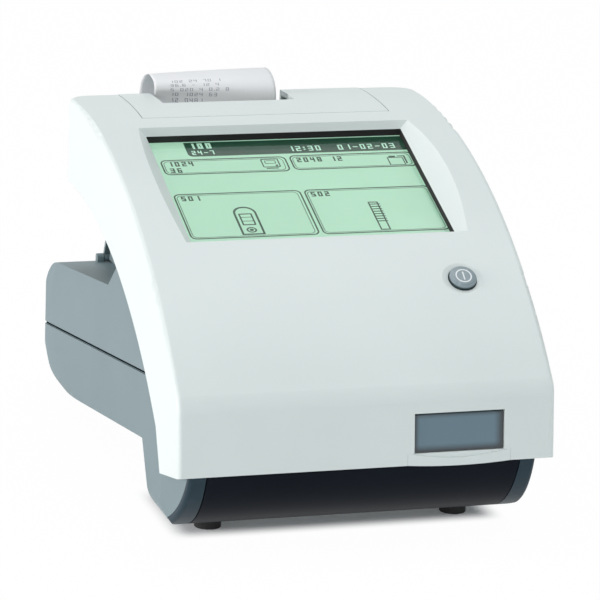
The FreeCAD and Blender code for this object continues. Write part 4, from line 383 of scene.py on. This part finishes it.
def screen_ink(name, colour, glow, strength):
    """Picture on a liquid crystal: a plain colour that glows, crossed by the panel's fine dot rows; the
    glow is partly the display's own light and partly painted light.
    """
    material, tree, skin = new_finish(name)
    skin.inputs["Roughness"].default_value = 0.35
    place = object_place(tree)
    rows = add_node(tree, "TexWave", {"Vector": place, "Scale": 2300.0}, bands_direction="X")
    cloud = add_node(tree, "TexNoise", {"Vector": place, "Scale": 22.0})
    blend = add_node(tree, "Mix", {"Factor": 0.35, "A": cloud.outputs["Fac"], "B": rows.outputs["Fac"]})
    feed(tree, skin.inputs["Base Color"],
         tinted(tree, blend.outputs["Result"], scaled(colour, 0.93), scaled(colour, 1.05), ends=(0.2, 0.8)))
    # Glow: partly the display's own light, partly painted light for the lamp light kept off by the glass.
    skin.inputs["Emission Color"].default_value = (*glow, 1)
    skin.inputs["Emission Strength"].default_value = strength
    return material


dress("touch_panel", clear_plastic("glass_clear", (0.97, 0.99, 0.98), 0.02))
dress("display_module", screen_ink("display_ground", (0.37, 0.55, 0.44), (0.46, 0.68, 0.55), 0.53))


# Picture: a dark header over two small fields and two large ones, as the display's dot rows draw them.
# It lies on the module's face, with plain figures and icons. Places are in millimetres from its middle.
picture_left = -43.5
picture_right = 63.0
header_low = 33.8
header_top = 45.6
header_high = 50.0
header_round = 2.4
field_round = 3.0
field_line = 0.75
field_inset = 1.2
field_inset_right = 1.7
field_inset_top = 1.3
field_inner_round = 2.5
field_inner_line = 0.32
cassette_left = -34.6
cassette_right = -23.8
cassette_top = -8.8
cassette_foot = -31.4
cassette_line = 1.0
well_centre = np.array([-29.4, -27.5])
well_outer = 2.4
well_inner = 1.6
well_squash = 0.9
corner_steps = 8
label_height = 3.8
label_line = 0.80
icon_line = 0.7
ink_height = 0.00006
mark_height = 0.00012


def rounded_outline(left, bottom, right, top, radius, steps=corner_steps):
    """Rounded rectangle, anticlockwise from its upper right: a quarter turn about each corner's centre."""
    turns = np.linspace(0, math.pi / 2, steps)
    centres = [(right - radius, top - radius), (left + radius, top - radius),
               (left + radius, bottom + radius), (right - radius, bottom + radius)]
    arcs = [np.stack([x + radius * np.cos(turns + quarter * math.pi / 2),
                      y + radius * np.sin(turns + quarter * math.pi / 2)], -1)
            for quarter, (x, y) in enumerate(centres)]
    return np.concatenate(arcs)


class FlatMarks:
    """Gathers flat shapes of one ink, in millimetres, into one mesh; a figure's sizes follow its height."""

    width_share = 0.56
    gap_share = 0.30
    colon_shares = (0.22, 0.62)
    dot_lines = 1.3
    dot_step_lines = 3.2
    bars_of = {"0": "abcdef", "1": "bc", "2": "abged", "3": "abgcd", "4": "fgbc", "5": "afgcd",
               "6": "afgedc", "7": "abc", "8": "abcdefg", "9": "abcdfg", "-": "g"}

    def __init__(self):
        self.points, self.faces = [], []

    def shape(self, outline):
        """One face inside an outline."""
        start = sum(map(len, self.points))
        self.points.append(np.asarray(outline, float))
        self.faces.append(tuple(range(start, start + len(outline))))

    def bar(self, left, bottom, right, top):
        """Filled rectangle."""
        self.shape(rounded_outline(left, bottom, right, top, 0.01))

    def ring(self, outer, inner):
        """Band between two outlines with the same count of points, joined point to point."""
        start = sum(map(len, self.points))
        count = len(outer)
        self.points.append(np.concatenate([outer, inner]))
        steps = [(start + i, start + (i + 1) % count) for i in range(count)]
        self.faces += [(here, after, after + count, here + count) for here, after in steps]

    def frame(self, left, bottom, right, top, radius, line):
        """Rounded frame, a line wide."""
        inner_radius = max(radius - line, 0.05)
        self.ring(rounded_outline(left, bottom, right, top, radius),
                  rounded_outline(left + line, bottom + line, right - line, top - line, inner_radius))

    def digits(self, text, left, bottom, height, line):
        """Seven-bar figures: each is the bars that it lights, and a dot or a colon is small squares."""
        wide = self.width_share * height
        half = height / 2
        places = {"a": (0, height - line, wide, height), "g": (0, half - line / 2, wide, half + line / 2),
                  "d": (0, 0, wide, line), "f": (0, half, line, height), "e": (0, 0, line, half),
                  "b": (wide - line, half, wide, height), "c": (wide - line, 0, wide, half)}
        dot = self.dot_lines * line
        dots_of = {".": (0.0,), ":": self.colon_shares}
        for figure in text:
            if figure in dots_of:
                for share in dots_of[figure]:
                    low = bottom + share * height
                    self.bar(left, low, left + dot, low + dot)
                left += self.dot_step_lines * line
                continue
            for x0, y0, x1, y1 in (places[name] for name in self.bars_of.get(figure, "")):
                self.bar(left + x0, bottom + y0, left + x1, bottom + y1)
            left += wide + self.gap_share * height

    def on_screen(self, name, material, height):
        """Lays the shapes on the screen's plane, a height above the module: centre + x right + y up."""
        flat = np.concatenate(self.points) / 1000
        points = (screen_centre + flat[:, :1] * screen_right + flat[:, 1:] * screen_up
                  - (picture_depth - height) * screen_out)
        piece = new_piece(name, points, self.faces, smooth=False)
        piece.data.materials.append(material)
        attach(piece, "housing")


def cassette_outline(inset, radius):
    """Upright shape, round at the top: the top half of a rounded outline, then its two square corners."""
    left = cassette_left + inset
    right = cassette_right - inset
    foot = cassette_foot + inset
    outline = rounded_outline(left, foot - 2 * radius, right, cassette_top - inset, radius, corner_steps)
    return np.concatenate([outline[:2 * corner_steps], [[left, foot], [right, foot]]])


header = FlatMarks()
header_outline = rounded_outline(picture_left, header_low, picture_right, header_high, header_round)
header_corner = header_outline[2 * corner_steps:3 * corner_steps]
header.shape([*header_corner, (picture_right, header_low), (picture_right, header_top),
              (picture_left, header_top)])
header_ink = screen_ink("display_header", (0.008, 0.052, 0.030), (0.015, 0.09, 0.05), 0.28)
header.on_screen("screen_header", header_ink, ink_height)

pale = FlatMarks()
pale.digits("12:30", 5.0, 35.6, 4.2, 0.72)
pale.digits("01-02-03", 29.0, 35.6, 4.2, 0.72)
pale.digits("100", -41.4, 40.2, 4.6, 1.1)
pale.digits("24-7", -41.4, 35.2, 3.4, 0.66)
pale_ink = screen_ink("display_pale", (0.37, 0.56, 0.46), (0.44, 0.68, 0.54), 0.60)
pale.on_screen("screen_header_marks", pale_ink, mark_height)

ink = FlatMarks()
for left, bottom, right, top in ((-58.1, 19.0, 1.6, 31.6), (3.3, 19.7, 62.9, 32.1),
                                 (-58.7, -33.4, 1.2, 3.2), (2.6, -33.4, 62.9, 3.2)):
    ink.frame(left, bottom, right, top, field_round, field_line)
    ink.frame(left + field_inset, bottom + field_inset, right - field_inset_right, top - field_inset_top,
              field_inner_round, field_inner_line)
for text, left, bottom in (("1024", -54.9, 26.0), ("36", -54.9, 20.8), ("2048 12", 6.5, 26.2),
                           ("501", -55.5, -2.6), ("502", 5.5, -2.6)):
    ink.digits(text, left, bottom, label_height, label_line)

# the small screen on its stand, and the folder behind a sheet
ink.frame(-10.8, 22.8, -2.3, 29.8, 0.8, 0.6)
ink.frame(-9.2, 25.8, -3.9, 28.5, 0.5, 0.4)
ink.frame(49.9, 20.9, 57.7, 27.8, 0.5, 0.55)
for bar in ((-9.4, 21.6, -3.7, 22.4), (-4.6, 23.6, -3.5, 24.8),
            (51.0, 27.8, 54.2, 29.0), (58.1, 22.2, 58.9, 29.0), (55.2, 28.3, 58.9, 29.0)):
    ink.bar(*bar)

# the cassette with its window and round well, and the strip with its row of pads
ink.ring(cassette_outline(0.0, 5.2), cassette_outline(cassette_line, 4.4))
ink.frame(-32.5, -23.7, -26.2, -14.3, 0.3, field_line)
for rung in (-20.6, -17.5):
    ink.bar(-31.8, rung, -26.9, rung + 0.4)
well_turn = np.linspace(0, 2 * math.pi, 24, endpoint=False)
well_circle = np.stack([np.cos(well_turn), well_squash * np.sin(well_turn)], -1)
ink.ring(well_centre + well_outer * well_circle, well_centre + well_inner * well_circle)
ink.shape(well_centre + well_circle)
ink.frame(30.1, -31.5, 34.9, -8.6, 0.2, icon_line)
for rung in np.linspace(-10.9, -24.7, 8):
    ink.bar(30.4, rung, 35.5, rung + icon_line)
dark_ink = screen_ink("display_ink", (0.014, 0.062, 0.032), (0.02, 0.08, 0.04), 0.3)
ink.on_screen("screen_buttons", dark_ink, ink_height)


# Power button: a round blue-grey key with a stepped crown, standing in the dish of the white cover.
# A ring and a stroke are printed on its crown in white, and its foot presses the switch inside.
# The key's profile, radius and height on its axis, and its prints are in millimetres.
button_place = np.array([0.0555, -0.0894, 0.1095])
button_lean = math.radians(35.45)
button_axis = np.array([0.0, -math.sin(button_lean), math.cos(button_lean)])
button_along = np.array([0.0, math.cos(button_lean), math.sin(button_lean)])
button_side = np.array([1.0, 0.0, 0.0])
key_profile = [(6.25, -2.6), (6.25, 0.35), (6.20, 0.75), (6.02, 1.05), (5.72, 1.22), (5.25, 1.30),
               (5.10, 1.34), (5.02, 1.48), (4.90, 1.62), (4.60, 1.70), (3.0, 1.76), (1.2, 1.78)]
# Painted shade on the key's side wall and its gap: full below the first height over the seat, gone above
# the second.
key_side_painted_shade = (0.030, 0.052, 0.056)
key_side_from = 0.0004
key_side_to = 0.0010
crown_radius = 0.25
print_height = 0.00184
ring_outer = 3.75
ring_inner = 3.12
stroke_core_shares = np.array([0.02, 0.9])


def turned_key(name, profile, around=96):
    """Turned form: centre + r cos t * side + r sin t * along + h * axis, closed by a fan at either end."""
    radius, height = np.array(profile, float).T / 1000
    angle = np.linspace(0, 2 * math.pi, around, endpoint=False)[:, None, None]
    spoke = np.cos(angle) * button_side + np.sin(angle) * button_along
    points = button_place + radius[None, :, None] * spoke + height[None, :, None] * button_axis
    ends = button_place + height[[0, -1], None] * button_axis
    rings = len(radius)
    at = np.arange(around * rings).reshape(around, rings)
    after = np.roll(at, -1, axis=0)
    low = around * rings
    high = low + 1
    walls = np.stack([at[:, :-1], after[:, :-1], after[:, 1:], at[:, 1:]], -1).reshape(-1, 4)
    foot = np.stack([after[:, 0], at[:, 0], np.full(around, low)], -1)
    crown = np.stack([at[:, -1], after[:, -1], np.full(around, high)], -1)
    faces = [*walls.tolist(), *foot.tolist(), *crown.tolist()]
    return new_piece(name, np.concatenate([points.reshape(-1, 3), ends]), faces, smooth=True)


def key_plastic(name, colour):
    """Moulded plastic with painted shade down the key's side: its colour darkens below a height along its
    axis.
    """
    material = moulded_plastic(name, colour, 0.36, 0.12, mottle=0.04, wear=0.25)
    tree, skin = finish_parts(material)
    seat = float(button_place @ button_axis)
    height = along_axis(tree, button_axis)
    # Painted shade: below the height the key's colour goes over to the dark shade colour.
    rise = add_node(tree, "MapRange", {"Value": height, "From Min": seat + key_side_from,
                                       "From Max": seat + key_side_to})
    plain = skin.inputs["Base Color"].links[0].from_socket
    feed(tree, skin.inputs["Base Color"], mixed(tree, rise.outputs["Result"], (*key_side_painted_shade, 1), plain))
    return material


def printed_shape(name, outer, inner, material):
    """Flat print on the key's crown, in millimetres: z = height - r^2 / (2 R), as the crown falls away."""
    flat = np.concatenate([outer, inner]) / 1000
    rise = print_height - (flat ** 2).sum(1) / (2 * crown_radius)
    points = (button_place + flat[:, :1] * button_side + flat[:, 1:] * button_along
              + rise[:, None] * button_axis)
    count = len(outer)
    faces = [(i, (i + 1) % count, count + (i + 1) % count, count + i) for i in range(count)]
    piece = new_piece(name, points, faces, smooth=False)
    piece.data.materials.append(material)
    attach(piece, "button")


key = turned_key("power_key", key_profile)
key.data.materials.append(key_plastic("button_grey", (0.235, 0.305, 0.335)))
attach(key, "button")
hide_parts("power_button")

print_white = moulded_plastic("print_white", (0.78, 0.83, 0.86), 0.5, 0.05, mottle=0.02)
ring_turn = np.linspace(0, 2 * math.pi, 64, endpoint=False)
ring_circle = np.stack([np.cos(ring_turn), np.sin(ring_turn)], -1)
printed_shape("button_ring", ring_outer * ring_circle, ring_inner * ring_circle, print_white)
stroke = rounded_outline(-0.33, -2.35, 0.33, 2.35, 0.3, steps=6)
printed_shape("button_stroke", stroke, stroke * stroke_core_shares, print_white)


# Test port: a smoked flap hangs on two stub pins in the opening where the test table comes out.
# It is a thin smoked moulding over a dark passage, paler in its middle, with painted shade towards its
# edges where the opening's recess shades it.
flap_left = 0.0207
flap_right = 0.0620
flap_low = 0.0444
flap_high = 0.0620
# Widths over which the painted shade at each edge fades into the middle.
flap_left_fade = 0.003
flap_right_fade = 0.005
flap_low_fade = 0.004
flap_high_fade = 0.003
flap_rim_painted_shade = (0.010, 0.018, 0.024)
flap_middle = (0.100, 0.182, 0.235)


def smoked_flap(name):
    """Smoked moulding: blue-grey in the middle, with painted shade that darkens it towards its four edges.
    """
    material = moulded_plastic(name, flap_middle, 0.16, 0.03, mottle=0.02)
    tree, skin = finish_parts(material)
    place = add_node(tree, "SeparateXYZ", {0: object_place(tree)})
    # Painted shade: the share away from all four edges keeps the middle colour, and the edges take the
    # rim's shade colour.
    middle = product(tree, [faded(tree, place.outputs["X"], flap_left, flap_left + flap_left_fade),
                            faded(tree, place.outputs["X"], flap_right, flap_right - flap_right_fade),
                            faded(tree, place.outputs["Z"], flap_low, flap_low + flap_low_fade),
                            faded(tree, place.outputs["Z"], flap_high, flap_high - flap_high_fade)])
    feed(tree, skin.inputs["Base Color"], mixed(tree, middle, (*flap_rim_painted_shade, 1), (*flap_middle, 1)))
    skin.inputs["Coat Weight"].default_value = 0.6
    skin.inputs["Coat Roughness"].default_value = 0.08
    return material


dress("port_flap", smoked_flap("smoked_plastic"))


# Printed paper: the strip rises through the notch of the printer cover and curls over towards the back.
# It is thin coated paper; the curl is wider at its right edge, so the strip leans back at its left.
# Places are in millimetres: x across the reader, then y and z along the curve of either edge.
strip_right = 14.5
strip_width = 57.0
strip_thickness = 0.00012
strip_steps = 241
strip_columns = 41
strip_lean_power = 1.4
print_left = -35.0
print_start = 104.0
print_step = 2.55
row_drop = 4.2
figure_height = 2.6
figure_line = 0.34
print_probe = 0.6
print_lift = 0.00006


def smooth_path(knots, count):
    """Catmull-Rom curve through the knots: the cubic between two knots uses the knots beside them too."""
    knots = np.array(knots, float)
    knots = np.concatenate([[2 * knots[0] - knots[1]], knots, [2 * knots[-1] - knots[-2]]])
    along = np.linspace(0, len(knots) - 3 - 1e-9, count)
    span = along.astype(int)
    t = (along - span)[:, None]
    a, b, c, d = (knots[span + step] for step in range(4))
    return 0.5 * (2 * b + (c - a) * t + (2 * a - 5 * b + 4 * c - d) * t ** 2
                  + (3 * b - 3 * c + d - a) * t ** 3)


right_knots = [(71.5, 127), (71.5, 138), (70.8, 148), (70.2, 156), (71.8, 162), (76.4, 166),
               (84, 167.9), (91.4, 167.5), (100, 164.2), (106.2, 157), (108.2, 148), (107.6, 138)]
left_knots = [(71.5, 127), (72, 138), (76.5, 148), (82.6, 155.6), (81.4, 160.4), (83, 163.6),
              (88.6, 165.3), (94, 165.3), (101, 162.9), (107, 158), (109.6, 151.5), (110.2, 141)]
right_edge = smooth_path(right_knots, strip_steps)
left_edge = smooth_path(left_knots, strip_steps)


def strip_at(x, along):
    """Place on the strip: right edge * (1 - s) + left edge * s, with s a power of the width's share."""
    share = np.clip((strip_right - x) / strip_width, 0, 1)[..., None] ** strip_lean_power
    steps = np.arange(strip_steps)
    at_right, at_left = (np.stack([np.interp(along, steps, edge[:, i]) for i in range(2)], -1)
                         for edge in (right_edge, left_edge))
    return np.concatenate([x[..., None], at_right * (1 - share) + at_left * share], -1) / 1000


def paper_sheet(name):
    """The strip as a grid over its width and length, thickened by a modifier."""
    across = np.linspace(strip_right - strip_width, strip_right, strip_columns)
    grid_x, grid_s = np.meshgrid(across, np.arange(float(strip_steps)), indexing="ij")
    at = np.arange(grid_x.size).reshape(grid_x.shape)
    faces = np.stack([at[:-1, :-1], at[1:, :-1], at[1:, 1:], at[:-1, 1:]], -1).reshape(-1, 4)
    piece = new_piece(name, strip_at(grid_x, grid_s).reshape(-1, 3), faces.tolist(), smooth=True)
    wall = piece.modifiers.new("thickness", "SOLIDIFY")
    wall.thickness = strip_thickness
    wall.offset = -1
    return piece


def paper_stock(name, colour, see_through):
    """Coated paper: a faint grain over a matt sheet, and a share of the light let through."""
    material = moulded_plastic(name, colour, 0.62, 0.08, mottle=0.015)
    tree, skin = finish_parts(material)
    glow = add_node(tree, "BsdfTranslucent", {"Color": (*scaled(colour, 1.2), 1)})
    sheet = add_node(tree, "MixShader", {0: see_through, 1: skin.outputs[0], 2: glow.outputs[0]})
    feed(tree, tree.nodes["Material Output"].inputs["Surface"], sheet.outputs[0])
    return material


def printed_rows(name, texts):
    """Rows of figures laid on the strip, lifted along its normal: the curve's direction crossed with x."""
    rows = FlatMarks()
    for row, text in enumerate(texts):
        rows.digits(text, 0.0, -row_drop * row, figure_height, figure_line)
    flat = np.concatenate(rows.points)
    along = print_start + print_step * flat[:, 1]
    on_sheet = strip_at(flat[:, 0] + print_left, along)
    further = strip_at(flat[:, 0] + print_left, along + print_probe)
    outward = np.cross(further - on_sheet, [1.0, 0.0, 0.0])
    outward /= np.linalg.norm(outward, axis=1)[:, None]
    outward *= np.sign(-outward[:, 1:2])
    return new_piece(name, on_sheet + outward * print_lift, rows.faces, smooth=False)


paper = paper_sheet("paper_curl")
paper.data.materials.append(paper_stock("paper_white", (0.83, 0.85, 0.87), 0.12))
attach(paper, "housing")
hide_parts("paper_strip")

printed = printed_rows("paper_print",
                       ("102 24 70 1", "36.6 - 12 4", "5 020 4 0.2 8", "10 1024 63", "12 0481"))
printed.data.materials.append(moulded_plastic("print_grey", (0.33, 0.36, 0.40), 0.6, 0.05, mottle=0.2))
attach(printed, "housing")


# Paper roll and its card core: wound paper in the bay behind the printer, turned as the paper is drawn off.
# The ends of the roll show its winding as fine rings.
roll_centre = (0, 0.0605, 0.0977)


def wound_paper(name, colour, pitch):
    """Wound roll: rings about its axis, from the sine of 2 pi times the distance to it over the pitch."""
    material = moulded_plastic(name, colour, 0.7, 0.1, mottle=0.02)
    tree, skin = finish_parts(material)
    shift = add_node(tree, "VectorMath", {0: object_place(tree), 1: roll_centre}, operation="SUBTRACT")
    flatten = add_node(tree, "VectorMath", {0: shift.outputs[0], 1: (0, 1, 1)}, operation="MULTIPLY")
    far = add_node(tree, "VectorMath", {0: flatten.outputs[0]}, operation="LENGTH")
    wave = worked_out(tree, "MULTIPLY", far.outputs["Value"], 2 * math.pi / pitch)
    lifted(tree, skin, worked_out(tree, "SINE", wave), 0.3, 0.0001)
    return material


dress("paper_roll", wound_paper("roll_white", (0.74, 0.75, 0.74), 0.0006))
dress("paper_core", wound_paper("core_card", (0.33, 0.22, 0.13), 0.0009))
dress("paper_arm", moulded_plastic("arm_green", (0.05, 0.26, 0.14), 0.42, 0.15, mottle=0.04))


# Printer and table drive: pressed steel frame, ground shafts, motors, gears of brass and white acetal.
# Everything is screwed to the frame or runs in it, under the covers.
def metal(name, colour, roughness, streak, stretch):
    """Metal: a stretched noise varies how sharply it mirrors, as rolling, grinding or turning leaves it."""
    material, tree, skin = new_finish(name)
    skin.inputs["Metallic"].default_value = 1.0
    place = add_node(tree, "Mapping", {"Vector": object_place(tree), "Scale": stretch}).outputs[0]
    lines = add_node(tree, "TexNoise", {"Vector": place, "Scale": 260.0, "Detail": 4.0}).outputs["Fac"]
    feed(tree, skin.inputs["Roughness"], ranged(tree, lines, roughness - streak, roughness + streak))
    feed(tree, skin.inputs["Base Color"], tinted(tree, lines, scaled(colour, 0.8), colour))
    return material


steel_plate = metal("steel_plate", (0.56, 0.57, 0.58), 0.34, 0.12, (1, 0.1, 1))
for node in ("printer_frame", "platen_shaft", "printer_motor", "table_motor", "card_slot",
             "display_bracket"):
    dress(node, steel_plate)
spring_steel = metal("spring_steel", (0.62, 0.62, 0.63), 0.24, 0.08, (1, 1, 0.1))
for node in ("head_springs", "battery_contacts", "cover_screws", "board_screws", "display_screws"):
    dress(node, spring_steel)
dress("motor_gear", metal("gear_brass", (0.62, 0.46, 0.20), 0.28, 0.08, (0.1, 1, 1)))
white_acetal = moulded_plastic("gear_white", (0.74, 0.74, 0.70), 0.36, 0.08, mottle=0.02)
for node in ("drive_pinion", "platen_gear", "idler_gear", "table_rack"):
    dress(node, white_acetal)
dress("thermal_head", moulded_plastic("head_ceramic", (0.62, 0.60, 0.55), 0.22, 0.1, mottle=0.04))


# Test table: a grey tray on a rack carries a white insert and a white reference bar out through the port.
# It runs in a black chassis, under the black housing of the optics with its clear lens and lamps.
dress("test_table", moulded_plastic("tray_grey", (0.33, 0.37, 0.39), 0.45, 0.2, mottle=0.03, wear=0.1))
insert_white = moulded_plastic("insert_white", (0.76, 0.77, 0.76), 0.4, 0.12, mottle=0.015)
for node in ("table_insert", "calibration_bar"):
    dress(node, insert_white)
inner_black = moulded_plastic("inner_black", (0.018, 0.018, 0.019), 0.5, 0.3, mottle=0.1)
for node in ("table_chassis", "optics_housing", "switch_plunger", "power_switch", "serial_port",
             "power_inlet", "board_chips"):
    dress(node, inner_black)
dress("optics_lens", clear_plastic("lens_clear", (0.96, 0.98, 0.99), 0.02))
dress("optics_lamps", clear_plastic("lamp_clear", (0.95, 0.97, 0.90), 0.08))


# Circuit boards: green laminate with a copper pattern that shows through the lacquer as paler lines.
# Chips, headers and flat cables sit on them.
wave_length = 0.314


def laminate(name, colour, trace):
    """Lacquered board: a brick pattern of fine lines stands for the copper, under a clear coat."""
    material = moulded_plastic(name, colour, 0.35, 0.1, mottle=0.05)
    tree, skin = finish_parts(material)
    copper = add_node(tree, "TexBrick", {"Vector": object_place(tree), "Scale": 120.0, "Mortar Size": 0.06,
                                         "Color1": (*colour, 1), "Color2": (*scaled(colour, 0.9), 1),
                                         "Mortar": (*trace, 1)})
    feed(tree, skin.inputs["Base Color"], copper.outputs["Color"])
    skin.inputs["Coat Weight"].default_value = 0.4
    return material


def flat_cable(name, colour, pitch):
    """Flat cable: side-by-side wires as a rounded ripple across X, one wave to each wire."""
    material = moulded_plastic(name, colour, 0.5, 0.1, mottle=0.02)
    tree, skin = finish_parts(material)
    wires = add_node(tree, "TexWave", {"Vector": object_place(tree), "Scale": wave_length / pitch},
                     bands_direction="X")
    lifted(tree, skin, wires.outputs["Fac"], 0.6, 0.0002)
    return material


board_green = laminate("circuit_green", (0.020, 0.130, 0.060), (0.06, 0.27, 0.13))
for node in ("main_board", "socket_board", "button_board", "optics_board"):
    dress(node, board_green)
dress("board_headers", moulded_plastic("header_white", (0.66, 0.64, 0.57), 0.45, 0.15, mottle=0.03))
cable_white = flat_cable("cable_white", (0.62, 0.62, 0.60), 0.001)
for node in ("display_cable", "printer_cable"):
    dress(node, cable_white)


# Batteries: six round cells in a plain sleeve, behind the door in the belly.
# The sleeve is shrunk film with no print, hard and glossy over its whole length.
cell_blue = moulded_plastic("cell_blue", (0.03, 0.07, 0.20), 0.3, 0.12, mottle=0.05)
finish_parts(cell_blue)[1].inputs["Coat Weight"].default_value = 0.5
dress("batteries", cell_blue)
